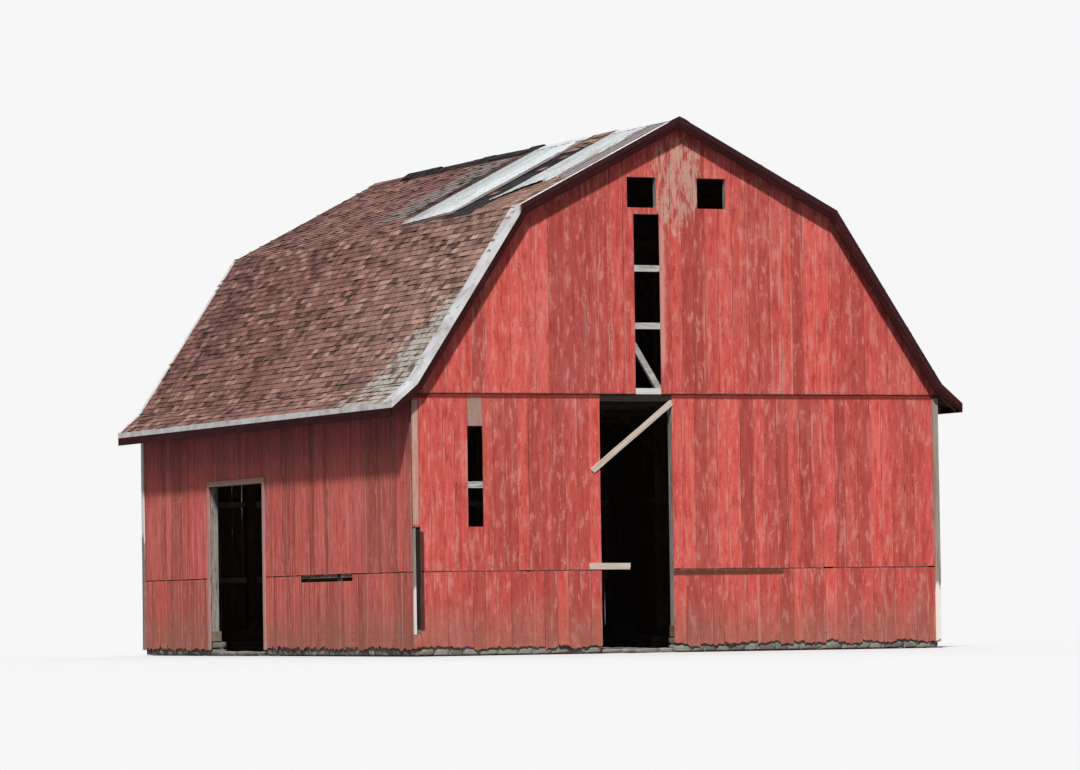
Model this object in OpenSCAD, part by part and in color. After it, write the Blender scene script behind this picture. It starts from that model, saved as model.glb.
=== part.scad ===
// Old gambrel barn: a pegged timber frame on a low stone foundation, clad in upright
// boards in three tiers, with a shingled gambrel roof that kicks out at the eaves.
// Origin: middle of the footprint at ground level. +Z is up, the front gable faces -Y.

/* [Footprint] */
// Width over the side wall boards
barn_w = 10970; // [9500:10:13000]
// Length over the gable wall boards
barn_l = 15240; // [13500:10:18000]
// Number of bays between the timber bents
bays = 4; // [3:1:6]

/* [Roof shape] */
// Height of the roof surface over the side walls
wall_line_z = 5100; // [4500:10:5700]
// Rise of the steep lower slope, from the wall to the knee
lower_rise = 3320; // [2900:10:3700]
// Rise of the upper slope, from the knee to the ridge
upper_rise = 1730; // [1550:10:2000]
// Distance of the knee from the middle of the barn
knee_x = 3300; // [2900:10:3700]
// How far outside the wall boards the eave's kick begins
kick_out = 15; // [0:1:40]
// How far the roof surface reaches past the side wall boards
eave_reach = 465; // [350:5:700]
// Drop of the roof surface from the wall to the eave tip
eave_drop = 380; // [300:5:500]
// How far the roof runs past the gable boards
rake_reach = 200; // [150:5:350]
// Thickness of the roof boards
roof_board_t = 25; // [20:1:40]
// Thickness of the layer of shingles
shingle_t = 15; // [8:1:24]

/* [Frame] */
// Side of a square post, plate or sill
timber = 200; // [160:5:240]
// Height of a tie beam
tie_h = 240; // [200:5:300]
// Depth of a rafter across its slope
rafter_h = 150; // [120:5:190]
// Thickness of a rafter
rafter_t = 50; // [40:1:70]
// Number of rafter pairs
rafter_pairs = 25; // [19:1:31]
// Depth of the bird's mouth where the rafters sit on a purlin plate
purlin_notch = 30; // [20:1:45]
// How far a purlin plate reaches out past the rafters' inner knee
purlin_out = 40; // [20:1:60]
// Width of a lower rafter's seat on the wall plate
plate_seat = 120; // [80:5:150]
// Gap left between two timbers of one run, at a butt or a scarf
joint_gap = 1; // [0.5:0.5:3]
// Length of a scarf joint in a plate
scarf_l = 700; // [500:10:900]
// Height of the square nose at each end of a scarf
scarf_nose = 40; // [25:1:60]
// How far past a post the plates are scarfed
scarf_past_post = 900; // [800:10:1100]
// Leg of a knee brace, measured along post and beam
brace_leg = 760; // [600:10:800]
// Width of a brace across its length
brace_w = 110; // [80:5:140]
// Thickness of a brace
brace_t = 85; // [60:5:95]
// Height of a girt
girt_h = 120; // [100:5:150]
// Depth of a girt
girt_t = 100; // [80:5:120]
// Drop of the highest gable girt under the knee
gable_girt_drop = 60; // [40:5:120]
// Pitch of the gable girts
gable_girt_pitch = 1090; // [950:10:1120]

/* [Walls] */
// Thickness of the wall boards
board_t = 25; // [19:1:32]
// Height of the lower edge of the boards over the ground
board_foot_z = 120; // [60:5:200]
// Height of the seam between the skirt boards and the wall boards
skirt_seam_z = 1570; // [1540:5:1600]
// Drop of the seam under the gable boards from the tie beam's top
gable_seam_drop = 118; // [80:1:150]
// Gap left open at a seam between two tiers of boards
seam_gap = 12; // [4:1:24]
// Width of a corner board
corner_w = 120; // [90:5:160]
// Thickness of a corner board
corner_t = 22; // [16:1:30]
// Gap between the top of a corner board and the lookouts
corner_top_gap = 55; // [20:5:120]

/* [Foundation] */
// Height of the stone foundation over the ground
foundation_h = 300; // [250:10:450]
// Thickness of the stone foundation
foundation_t = 320; // [260:10:450]
// Height of the stones under a doorway
threshold_h = 100; // [60:10:160]
// Side of a stone pad under an inner post
pad_w = 420; // [320:10:600]

/* [Doorways] */
// Distance of the front doorway's middle from the middle of the barn
front_door_x = -915; // [-1200:5:-700]
// Width of the front doorway
front_door_w = 1490; // [1200:10:1700]
// Width of wall left between the doorway in the left wall and each of its bay's posts
side_door_margin = 208; // [165:1:400]
// Height of the doorway in the left wall
side_door_z = 3450; // [3000:10:3600]
// Number of the bay with the side doorway, counted from the front
side_door_bay = 3; // [1:1:3]
// Side of a square door post
door_post = 150; // [110:5:160]
// Width of a casing board round the side doorway
casing_w = 110; // [80:5:150]

/* [Windows] */
// Distance of a gable window's middle from the middle of the barn
window_x = 730; // [600:5:900]
// Width of a gable window
window_w = 600; // [480:10:700]
// Height of a gable window
window_h = 580; // [450:10:650]
// Thickness of the boards that line a window
lining_t = 40; // [25:1:50]

/* [Missing boards] */
// Left edge of the tall slot in the front gable
slot_x = -900; // [-1000:5:-800]
// Width of the tall slot
slot_w = 530; // [400:10:600]
// Width of the strut behind the slot, measured level
strut_w = 135; // [90:5:160]
// How far the strut's foot reaches right past the slot
strut_out = 28; // [0:1:60]
// How far the strut leans to the left for each millimetre that it rises
strut_lean = 0.62; // [0.4:0.01:0.8]
// Left edge of the missing board in the front wall
missing_x = -4360; // [-4600:5:-4200]
// Width of the missing board
missing_w = 300; // [200:5:350]
// Lower and upper end of the missing board
missing_z = [2400, 4280];
// Width of the missing strip at the front left corner
corner_gap_w = 150; // [80:5:180]
// Lower and upper end of the missing strip at the corner
corner_gap_z = [400, 2400];
// Distances of the side slot's two ends from the front
side_slot_y = [3100, 5900];
// Height of the side slot under the skirt seam
side_slot_h = 125; // [80:5:160]

/* [Trim] */
// Thickness of a rake or eave board
trim_t = 25; // [18:1:35]
// Depth of a rake board below the roof boards
rake_board_h = 165; // [120:5:200]
// Depth of the lookouts that carry the roof's edges
lookout_h = 90; // [70:5:110]
// Number of rake lookouts on an upper slope
upper_lookouts = 4; // [3:1:6]
// Number of rake lookouts on a lower slope
lower_lookouts = 5; // [3:1:7]
// Thickness of the metal edging
edging_t = 4; // [2:0.5:8]
// Height of the metal edging on the roof's edges
edging_h = 85; // [50:5:110]
// Width of the metal edging on the shingles along a rake
edging_top_w = 150; // [80:5:200]
// Thickness of the ridge cap
ridge_cap_t = 12; // [6:1:20]
// Width of the ridge cap on each slope, measured level
ridge_cap_w = 200; // [150:5:280]
// Thickness of the metal sheets on the upper left slope
sheet_t = 4; // [2:0.5:8]
// Distances of the two runs of metal sheets from the front edge of the roof
sheet_run_y = [160, 3900];
// Number of sheets side by side in each run
sheet_count = [4, 4];
// Width of a metal sheet
sheet_w = 640; // [500:10:700]
// Gap between two sheets side by side
sheet_gap = 3; // [2:1:8]

/* [Loose boards] */
// Lower end of the board nailed across the front doorway, from its upper left corner
cross_board_a = [-240, -1470];
// Upper end of that board, from the doorway's upper right corner
cross_board_b = [130, -50];
// Width of a loose board
loose_board_w = 125; // [90:5:180]
// Height of the short plank at the front doorway's left edge
plank_z = 1640; // [1500:10:1800]
// How far the short plank reaches into the doorway
plank_reach = 620; // [400:10:900]
// How far a loose board lies on the wall beside the doorway
loose_lap = 280; // [150:10:400]

/* [Hidden] */

// Faces of the walls: boards outside, frame inside
wall_x = barn_w / 2;
wall_y = barn_l / 2;
frame_x = wall_x - board_t;
frame_y = wall_y - board_t;
roof_end_y = wall_y + rake_reach;
deck_t = shingle_t + roof_board_t;
roof_t = deck_t + rafter_h;

// The roof surface from the ridge to the right eave tip, as points across the barn
tip_x = wall_x + eave_reach;
tip_z = wall_line_z - eave_drop;
knee_z = wall_line_z + lower_rise;
peak_z = knee_z + upper_rise;
roof_line = [
  [0, peak_z], [knee_x, knee_z], [wall_x + kick_out, wall_line_z], [tip_x, tip_z]
];
RIDGE = 0;
KNEE = 1;
WALL = 2;
TIP = 3;

// Inward normal of slope s, and how far a depth across that slope reaches straight down
function slope_dir(s) = roof_line[s + 1] - roof_line[s];
function slope_in(s) = let (d = slope_dir(s)) [d[1], -d[0]] / norm(d);
function plumb(s) = -1 / slope_in(s)[1];
// Corner i of the roof surface, moved t into the roof with its mitre kept
function inset(i, t) =
  i == RIDGE ? roof_line[RIDGE] - [0, t * plumb(RIDGE)]
  : i == TIP ? roof_line[TIP] - [0, t * plumb(WALL)]
  : let (a = slope_in(i - 1), b = slope_in(i)) roof_line[i] + t * (a + b) / (1 + a * b);
// Height of slope s at distance x from the middle, at depth t in the roof
function slope_z(s, x, t) =
  roof_line[s][1] + (x - roof_line[s][0]) * slope_dir(s)[1] / slope_dir(s)[0] - t * plumb(s);
function roof_z(x, t) =
  slope_z(x < inset(KNEE, t)[0] ? RIDGE : x < inset(WALL, t)[0] ? KNEE : WALL, x, t);

// Levels of the frame
sill_z = foundation_h + timber;
plate_top = slope_z(KNEE, frame_x - plate_seat, roof_t);
plate_bottom = plate_top - timber;
tie_bottom = plate_top - tie_h;
post_in_x = frame_x - timber;
purlin_corner = inset(KNEE, roof_t);
purlin_out_x = purlin_corner[0] + purlin_out;
purlin_in_x = purlin_out_x - timber;
purlin_top = purlin_corner[1] + purlin_notch;
purlin_bottom = purlin_top - timber;
bent_pitch = (2 * frame_y - timber) / bays;
function bent_y(i) = -frame_y + timber / 2 + i * bent_pitch;
rafter_pitch = (2 * frame_y - rafter_t) / (rafter_pairs - 1);
function rafter_y(i) = -frame_y + rafter_t / 2 + i * rafter_pitch;
wall_top_z = roof_z(wall_x, deck_t);

// Edges of the openings
door_left = front_door_x - front_door_w / 2;
door_right = front_door_x + front_door_w / 2;
side_door_y = (bent_y(side_door_bay - 1) + bent_y(side_door_bay)) / 2;
side_door_w = bent_pitch - timber - 2 * side_door_margin;
side_front = side_door_y - side_door_w / 2;
side_back = side_door_y + side_door_w / 2;

// Heights of the girts, the seam between two tiers of boards, and what they bound
side_girt_z = [skirt_seam_z, (skirt_seam_z + plate_bottom) / 2];
gable_girt_z = [for (i = [2, 1, 0]) knee_z - gable_girt_drop - i * gable_girt_pitch];
gable_seam_z = plate_top - gable_seam_drop;
window_foot = gable_girt_z[2] + girt_h / 2;
slot_top = gable_girt_z[2] - girt_h / 2;
// Longer than anything here, for cuts that go right through
far = 2 * barn_l;

// Helpers: outlines across the barn or along it, pushed to their thickness
module across(y0, y1) {
  translate([0, y1, 0]) rotate([90, 0, 0]) linear_extrude(y1 - y0) children();
}
module along(x0, x1) {
  translate([x0, 0, 0]) rotate([90, 0, 90]) linear_extrude(x1 - x0) children();
}
module block(a, b) {
  translate(a) cube(b - a);
}
module area(a, b) {
  translate(a) square(b - a);
}
module both_sides() {
  children();
  mirror([1, 0, 0]) children();
}
module both_ends() {
  children();
  mirror([0, 1, 0]) children();
}
// A strip of the roof between depths t0 and t1, from corner i0 to corner i1
module roof_strip(t0, t1, i0, i1) {
  polygon(concat(
    [for (i = [i0:i1]) inset(i, t0)],
    [for (i = [i1:-1:i0]) inset(i, t1)]
  ));
}
// The whole gable under depth t of the roof, above height z
module under_roof(t, z) {
  half = [for (i = [TIP:-1:KNEE]) inset(i, t)];
  intersection() {
    polygon(concat(
      [[tip_x, z]], half, [inset(RIDGE, t)],
      [for (i = [len(half) - 1:-1:0]) [-half[i][0], half[i][1]]], [[-tip_x, z]]
    ));
    area([-wall_x, z], [wall_x, peak_z]);
  }
}
// A brace in the corner between an upright face at 0 and a level face above it
module knee_brace() {
  foot = brace_w * sqrt(2);
  polygon([
    [0, -brace_leg], [0, foot - brace_leg], [brace_leg - foot, 0], [brace_leg, 0]
  ]);
}

// Foundation
module foundation() {
  color("darkgray") difference() {
    block([-frame_x, -frame_y, 0], [frame_x, frame_y, foundation_h]);
    block(
      [foundation_t - frame_x, foundation_t - frame_y, -1],
      [frame_x - foundation_t, frame_y - foundation_t, foundation_h + 1]
    );
    front_doorway(threshold_h);
    side_doorway(threshold_h);
  }
}
module post_pads() {
  x = (purlin_in_x + purlin_out_x) / 2;
  color("gray") both_sides() for (i = [1:bays - 1]) translate([x, bent_y(i), 0])
    block([-pad_w / 2, -pad_w / 2, 0], [pad_w / 2, pad_w / 2, foundation_h]);
}

// Openings, as blocks that reach through the walls
module front_doorway(z0) {
  block([door_left, -far, z0], [door_right, -frame_y + foundation_t + 1, gable_seam_z]);
}
module side_doorway(z0) {
  block([-far, side_front, z0], [-frame_x + foundation_t + 1, side_back, side_door_z]);
}
module gable_windows() {
  for (x = [-window_x, window_x])
    translate([x, 0]) area([-window_w / 2, window_foot], [window_w / 2, window_foot + window_h]);
}

// Timber frame
module sills() {
  color("peru") difference() {
    block([-frame_x, -frame_y, foundation_h], [frame_x, frame_y, sill_z]);
    block(
      [timber - frame_x, timber - frame_y, 0], [frame_x - timber, frame_y - timber, far]
    );
    front_doorway(0);
    side_doorway(0);
  }
}
module wall_posts() {
  color("burlywood") both_sides() for (i = [0:bays]) translate([0, bent_y(i), 0])
    block([post_in_x, -timber / 2, sill_z], [frame_x, timber / 2, plate_bottom]);
}
module inner_posts() {
  color("burlywood") both_sides() for (i = [0:bays]) translate([0, bent_y(i), 0]) {
    foot = i == 0 || i == bays ? sill_z : foundation_h;
    block([purlin_in_x, -timber / 2, foot], [purlin_out_x, timber / 2, tie_bottom]);
    block([purlin_in_x, -timber / 2, plate_top], [purlin_out_x, timber / 2, purlin_bottom]);
  }
}
module tie_beams() {
  color("tan") for (i = [0:bays]) translate([0, bent_y(i), 0])
    block([-post_in_x, -timber / 2, tie_bottom], [post_in_x, timber / 2, plate_top]);
}
// Both lengths of a plate, with a splayed scarf past the middle post
module scarfed_plate(z0, z1) {
  y = bent_y(floor(bays / 2)) + scarf_past_post;
  y0 = y - scarf_l / 2;
  y1 = y + scarf_l / 2;
  polygon([
    [-frame_y, z0], [y1, z0], [y1, z0 + scarf_nose], [y0, z1 - scarf_nose], [y0, z1],
    [-frame_y, z1]
  ]);
  translate([joint_gap, 0]) polygon([
    [y1, z0], [frame_y - joint_gap, z0], [frame_y - joint_gap, z1], [y0, z1],
    [y0, z1 - scarf_nose], [y1, z0 + scarf_nose]
  ]);
}
module wall_plates() {
  color("tan") both_sides() along(post_in_x, frame_x) scarfed_plate(plate_bottom, plate_top);
}
module purlin_plate_outline() {
  area([purlin_in_x, purlin_bottom], [purlin_out_x, purlin_top]);
}
module purlin_plates() {
  color("tan") both_sides() along(purlin_in_x, purlin_out_x) scarfed_plate(purlin_bottom, purlin_top);
}
// The gable bents have girts in place of a straining beam
module straining_beams() {
  color("tan") for (i = [1:bays - 1]) translate([0, bent_y(i), 0])
    block([-purlin_in_x, -timber / 2, purlin_bottom - timber], [purlin_in_x, timber / 2, purlin_bottom]);
}
module tie_braces() {
  color("sienna") both_sides() for (i = [0:bays]) translate([0, bent_y(i), 0])
    across(-brace_t / 2, brace_t / 2) {
      translate([purlin_out_x, tie_bottom]) knee_brace();
      translate([purlin_in_x, tie_bottom]) mirror([1, 0]) knee_brace();
      translate([post_in_x, tie_bottom]) mirror([1, 0]) knee_brace();
    }
}
// Braces along a row of posts, on both sides of each but the end ones
module row_braces(x0, z) {
  for (i = [0:bays]) along(x0, x0 + brace_t) {
    if (i < bays) translate([bent_y(i) + timber / 2, z]) knee_brace();
    if (i > 0) translate([bent_y(i) - timber / 2, z]) mirror([1, 0]) knee_brace();
  }
}
module long_braces() {
  color("sienna") both_sides() {
    row_braces(post_in_x, plate_bottom);
    row_braces(purlin_in_x + (timber - brace_t) / 2, purlin_bottom);
  }
}
// Leans from the tie beam to the lowest gable girt, behind the tall slot
module gable_strut() {
  top = gable_girt_z[0] - girt_h / 2;
  lean = (top - plate_top) * strut_lean;
  right = slot_x + slot_w + strut_out;
  left = right - strut_w;
  color("gray") across(-frame_y, brace_t - frame_y) polygon([
    [left, plate_top], [right, plate_top], [right - lean, top], [left - lean, top]
  ]);
}
// Rafters: mitred at the knee, butted at the ridge and notched over the plates
module upper_rafters() {
  color("wheat") both_sides() for (i = [0:rafter_pairs - 1])
    across(rafter_y(i) - rafter_t / 2, rafter_y(i) + rafter_t / 2) difference() {
      roof_strip(deck_t, roof_t, RIDGE, KNEE);
      area([0, 0], [joint_gap / 2, far]);
      purlin_plate_outline();
    }
}
module lower_rafters() {
  color("wheat") both_sides() for (i = [0:rafter_pairs - 1])
    across(rafter_y(i) - rafter_t / 2, rafter_y(i) + rafter_t / 2) difference() {
      roof_strip(deck_t, roof_t, KNEE, WALL);
      purlin_plate_outline();
      area([0, 0], [far, plate_top]);
      area([frame_x, 0], [far, far]);
    }
}

// Girts, which the boards are nailed to
module girt_band(z) {
  area([-wall_x, z - girt_h / 2], [wall_x, z + girt_h / 2]);
}
module girts_of_a_gable() {
  difference() {
    across(-frame_y, girt_t - frame_y) {
      for (z = side_girt_z) intersection() {
        girt_band(z);
        area([-post_in_x, 0], [post_in_x, far]);
      }
      intersection() {
        under_roof(roof_t, plate_top);
        for (z = gable_girt_z) girt_band(z);
      }
    }
    both_sides() for (z = [0, plate_top])
      block([purlin_in_x, -far, z], [purlin_out_x, far, z == 0 ? tie_bottom : purlin_bottom]);
  }
}
module gable_girts() {
  color("darkkhaki") {
    difference() {
      girts_of_a_gable();
      block([door_left - door_post, -far, 0], [door_right + door_post, far, tie_bottom]);
    }
    mirror([0, 1, 0]) girts_of_a_gable();
  }
}
module girts_of_a_side(skip) {
  for (i = [0:bays - 1]) if (i + 1 != skip) for (z = side_girt_z)
    block(
      [frame_x - girt_t, bent_y(i) + timber / 2, z - girt_h / 2],
      [frame_x, bent_y(i + 1) - timber / 2, z + girt_h / 2]
    );
}
module side_girts() {
  color("darkkhaki") {
    girts_of_a_side(0);
    mirror([1, 0, 0]) girts_of_a_side(side_door_bay);
  }
}

// Door frames and window linings
module door_frames() {
  color("dimgray") {
    for (x = [door_left - door_post, door_right])
      block([x, -frame_y, sill_z], [x + door_post, door_post - frame_y, tie_bottom]);
    mirror([1, 0, 0]) {
      for (y = [side_front - door_post, side_back])
        block([frame_x - door_post, y, sill_z], [frame_x, y + door_post, side_door_z]);
      block(
        [frame_x - door_post, bent_y(side_door_bay - 1) + timber / 2, side_door_z],
        [frame_x, bent_y(side_door_bay) - timber / 2, side_door_z + door_post]
      );
    }
  }
}
module side_door_casing() {
  color("rosybrown") along(-wall_x - trim_t, -wall_x) difference() {
    area([side_front - casing_w, board_foot_z], [side_back + casing_w, side_door_z + casing_w]);
    area([side_front, 0], [side_back, side_door_z]);
  }
}
module window_linings() {
  color("dimgray") both_ends() across(-frame_y, girt_t - frame_y) difference() {
    for (x = [-window_x, window_x]) translate([x, 0]) area(
      [-window_w / 2 - lining_t, window_foot],
      [window_w / 2 + lining_t, window_foot + window_h + lining_t]
    );
    gable_windows();
  }
}

// Wall boards, a slab for each part of a wall
module front_gable_boards() {
  color("firebrick") across(-wall_y, -frame_y) difference() {
    under_roof(deck_t, gable_seam_z + seam_gap / 2);
    gable_windows();
    area([slot_x, gable_seam_z], [slot_x + slot_w, slot_top]);
  }
}
module back_gable_boards() {
  color("firebrick") across(frame_y, wall_y) difference() {
    under_roof(deck_t, gable_seam_z + seam_gap / 2);
    gable_windows();
  }
}
module wall_tier(x0, x1) {
  area([x0, skirt_seam_z + seam_gap / 2], [x1, gable_seam_z - seam_gap / 2]);
}
module skirt_tier(x0, x1) {
  area([x0, board_foot_z], [x1, skirt_seam_z - seam_gap / 2]);
}
module corner_gap() {
  area([-wall_x, corner_gap_z[0]], [corner_gap_w - wall_x, corner_gap_z[1]]);
}
module front_wall_left() {
  color("firebrick") across(-wall_y, -frame_y) difference() {
    wall_tier(-wall_x, door_left);
    area([missing_x, missing_z[0]], [missing_x + missing_w, missing_z[1]]);
    corner_gap();
  }
}
module front_wall_right() {
  color("firebrick") across(-wall_y, -frame_y) wall_tier(door_right, wall_x);
}
module front_skirt() {
  color("brown") across(-wall_y, -frame_y) {
    difference() {
      skirt_tier(-wall_x, door_left);
      corner_gap();
    }
    skirt_tier(door_right, wall_x);
  }
}
module back_wall() {
  color("firebrick") across(frame_y, wall_y) wall_tier(-wall_x, wall_x);
}
module back_skirt() {
  color("brown") across(frame_y, wall_y) skirt_tier(-wall_x, wall_x);
}
module side_tier(y0, y1, z0) {
  area([y0, z0], [y1, wall_top_z]);
}
module left_wall_front() {
  color("firebrick") along(-wall_x, -frame_x)
    side_tier(-frame_y, side_front, skirt_seam_z + seam_gap / 2);
}
module left_wall_back() {
  color("firebrick") along(-wall_x, -frame_x)
    side_tier(side_back, frame_y, skirt_seam_z + seam_gap / 2);
}
module left_wall_over_door() {
  color("firebrick") along(-wall_x, -frame_x) side_tier(side_front, side_back, side_door_z);
}
module left_skirt() {
  color("brown") along(-wall_x, -frame_x) difference() {
    union() {
      skirt_tier(-frame_y, side_front);
      skirt_tier(side_back, frame_y);
    }
    area(
      [side_slot_y[0] - wall_y, skirt_seam_z - seam_gap / 2 - side_slot_h],
      [side_slot_y[1] - wall_y, far]
    );
  }
}
module right_wall() {
  color("firebrick") along(frame_x, wall_x)
    side_tier(-frame_y, frame_y, skirt_seam_z + seam_gap / 2);
}
module right_skirt() {
  color("brown") along(frame_x, wall_x) skirt_tier(-frame_y, frame_y);
}
// Corner boards on every corner but the front left one, where it is lost
module corner_boards() {
  top = slope_z(WALL, wall_x, deck_t) - lookout_h * plumb(WALL) - corner_top_gap;
  module angle_board() {
    translate([0, 0, board_foot_z]) linear_extrude(top - board_foot_z) difference() {
      area([wall_x - corner_w, wall_y - corner_w], [wall_x + corner_t, wall_y + corner_t]);
      area([0, 0], [wall_x, wall_y]);
    }
  }
  color("lightgray") {
    both_sides() angle_board();
    mirror([0, 1, 0]) angle_board();
  }
}

// Roof boards and shingles
module roof_layer(t0, t1, i0, i1) {
  across(-roof_end_y, roof_end_y) roof_strip(t0, t1, i0, i1);
}
module left_upper_roof_boards() {
  color("sienna") mirror([1, 0, 0]) roof_layer(shingle_t, deck_t, RIDGE, KNEE);
}
module left_lower_roof_boards() {
  color("sienna") mirror([1, 0, 0]) roof_layer(shingle_t, deck_t, KNEE, TIP);
}
module right_upper_roof_boards() {
  color("sienna") roof_layer(shingle_t, deck_t, RIDGE, KNEE);
}
module right_lower_roof_boards() {
  color("sienna") roof_layer(shingle_t, deck_t, KNEE, TIP);
}
module left_upper_shingles() {
  color("rosybrown") mirror([1, 0, 0]) roof_layer(0, shingle_t, RIDGE, KNEE);
}
module left_lower_shingles() {
  color("rosybrown") mirror([1, 0, 0]) roof_layer(0, shingle_t, KNEE, TIP);
}
module right_upper_shingles() {
  color("rosybrown") roof_layer(0, shingle_t, RIDGE, KNEE);
}
module right_lower_shingles() {
  color("rosybrown") roof_layer(0, shingle_t, KNEE, TIP);
}
module ridge_cap() {
  color("dimgray") across(-roof_end_y, roof_end_y) intersection() {
    both_sides() roof_strip(-ridge_cap_t, 0, RIDGE, KNEE);
    area([-ridge_cap_w, 0], [ridge_cap_w, far]);
  }
}
// Two runs of bare metal sheets nailed down the upper left slope
module metal_sheets() {
  color("white") mirror([1, 0, 0]) for (run = [0, 1], i = [0:sheet_count[run] - 1]) {
    y = sheet_run_y[run] + i * (sheet_w + sheet_gap) - roof_end_y;
    across(y, y + sheet_w) difference() {
      roof_strip(-sheet_t, 0, RIDGE, KNEE);
      area([0, 0], [ridge_cap_w, far]);
    }
  }
}

// Lookouts: under the kicked eaves, and stub rafters under the rakes
module eave_lookout_outline() {
  difference() {
    roof_strip(deck_t, deck_t + lookout_h, WALL, TIP);
    area([0, 0], [wall_x, far]);
    area([tip_x - trim_t, 0], [far, far]);
  }
}
module rake_lookouts(s, count) {
  step = slope_dir(s) / count;
  angle = atan2(step[1], step[0]);
  for (i = [0:count - 1]) {
    at = roof_line[s] + (i + 0.5) * step;
    translate([at[0], 0, at[1]]) rotate([0, -angle, 0]) block(
      [-rafter_t / 2, -roof_end_y + trim_t, -deck_t - lookout_h],
      [rafter_t / 2, -wall_y, -deck_t]
    );
  }
}
module roof_lookouts() {
  color("saddlebrown") both_sides() {
    for (i = [0:rafter_pairs - 1])
      across(rafter_y(i) - rafter_t / 2, rafter_y(i) + rafter_t / 2) eave_lookout_outline();
    both_ends() {
      rake_lookouts(RIDGE, upper_lookouts);
      rake_lookouts(KNEE, lower_lookouts);
    }
  }
}
module rake_boards() {
  color("maroon") both_ends() across(-roof_end_y, trim_t - roof_end_y) both_sides() difference() {
    roof_strip(deck_t, deck_t + rake_board_h, RIDGE, TIP);
    area([tip_x - trim_t, 0], [far, far]);
  }
}
module eave_boards() {
  color("maroon") both_sides() across(-roof_end_y, roof_end_y) intersection() {
    roof_strip(deck_t, deck_t + rake_board_h, WALL, TIP);
    area([tip_x - trim_t, 0], [far, far]);
  }
}
// Metal edging: an angle over each rake, and a strip down each eave
module rake_edging() {
  edge = roof_end_y + edging_t;
  color("gainsboro") both_ends() {
    across(-edge, -roof_end_y) both_sides() roof_strip(-edging_t, edging_h, RIDGE, TIP);
    across(-roof_end_y, edging_top_w - roof_end_y) both_sides() difference() {
      roof_strip(-edging_t, 0, RIDGE, TIP);
      area([0, 0], [ridge_cap_w, far]);
    }
  }
}
module eave_edging() {
  color("gainsboro") both_sides() block(
    [tip_x, -roof_end_y, tip_z - edging_h * plumb(WALL)],
    [tip_x + edging_t, roof_end_y, tip_z]
  );
}

// Two boards left at the front doorway: one nailed across it, one cut short
module loose_boards() {
  a = [door_left, gable_seam_z] + cross_board_a;
  b = [door_right, gable_seam_z] + cross_board_b;
  side = [a[1] - b[1], b[0] - a[0]] / norm(b - a) * loose_board_w / 2;
  color("tan") across(-wall_y - corner_t, -wall_y) {
    polygon([a - side, b - side, b + side, a + side]);
    translate([door_left, plank_z])
      area([-loose_lap, -loose_board_w / 2], [plank_reach, loose_board_w / 2]);
  }
}

foundation();
post_pads();
sills();
wall_posts();
inner_posts();
tie_beams();
wall_plates();
purlin_plates();
straining_beams();
tie_braces();
long_braces();
gable_strut();
upper_rafters();
lower_rafters();
gable_girts();
side_girts();
door_frames();
side_door_casing();
window_linings();
front_gable_boards();
front_wall_left();
front_wall_right();
front_skirt();
left_wall_front();
left_wall_back();
left_wall_over_door();
left_skirt();
right_wall();
right_skirt();
back_gable_boards();
back_wall();
back_skirt();
corner_boards();
left_upper_roof_boards();
left_lower_roof_boards();
right_upper_roof_boards();
right_lower_roof_boards();
left_upper_shingles();
left_lower_shingles();
right_upper_shingles();
right_lower_shingles();
ridge_cap();
metal_sheets();
roof_lookouts();
rake_boards();
eave_boards();
rake_edging();
eave_edging();
loose_boards();
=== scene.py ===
import math

import bmesh
import bpy
import numpy as np
from mathutils import Matrix, Vector


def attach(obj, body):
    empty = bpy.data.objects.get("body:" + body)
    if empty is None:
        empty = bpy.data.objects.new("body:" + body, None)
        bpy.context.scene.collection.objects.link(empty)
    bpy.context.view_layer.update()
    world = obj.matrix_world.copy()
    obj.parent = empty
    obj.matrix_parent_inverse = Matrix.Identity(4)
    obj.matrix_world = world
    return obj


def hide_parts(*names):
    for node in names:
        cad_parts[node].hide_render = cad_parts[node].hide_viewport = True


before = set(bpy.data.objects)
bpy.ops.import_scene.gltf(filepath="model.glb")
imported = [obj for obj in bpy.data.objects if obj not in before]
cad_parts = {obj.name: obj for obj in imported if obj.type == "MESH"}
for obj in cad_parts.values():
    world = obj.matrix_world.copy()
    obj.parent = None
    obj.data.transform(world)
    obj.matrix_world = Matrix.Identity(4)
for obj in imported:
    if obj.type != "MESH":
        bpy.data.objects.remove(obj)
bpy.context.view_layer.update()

# Foundation: field stones laid in lime mortar, two courses high, with a low course under
# each doorway. A few rounded stones are modelled, and every stone of the wall is one of
# them stretched to its place between the joints. The mortar bed lies a little behind.

rng = np.random.default_rng(1887)
bpy.ops.object.select_all(action="DESELECT")


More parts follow.
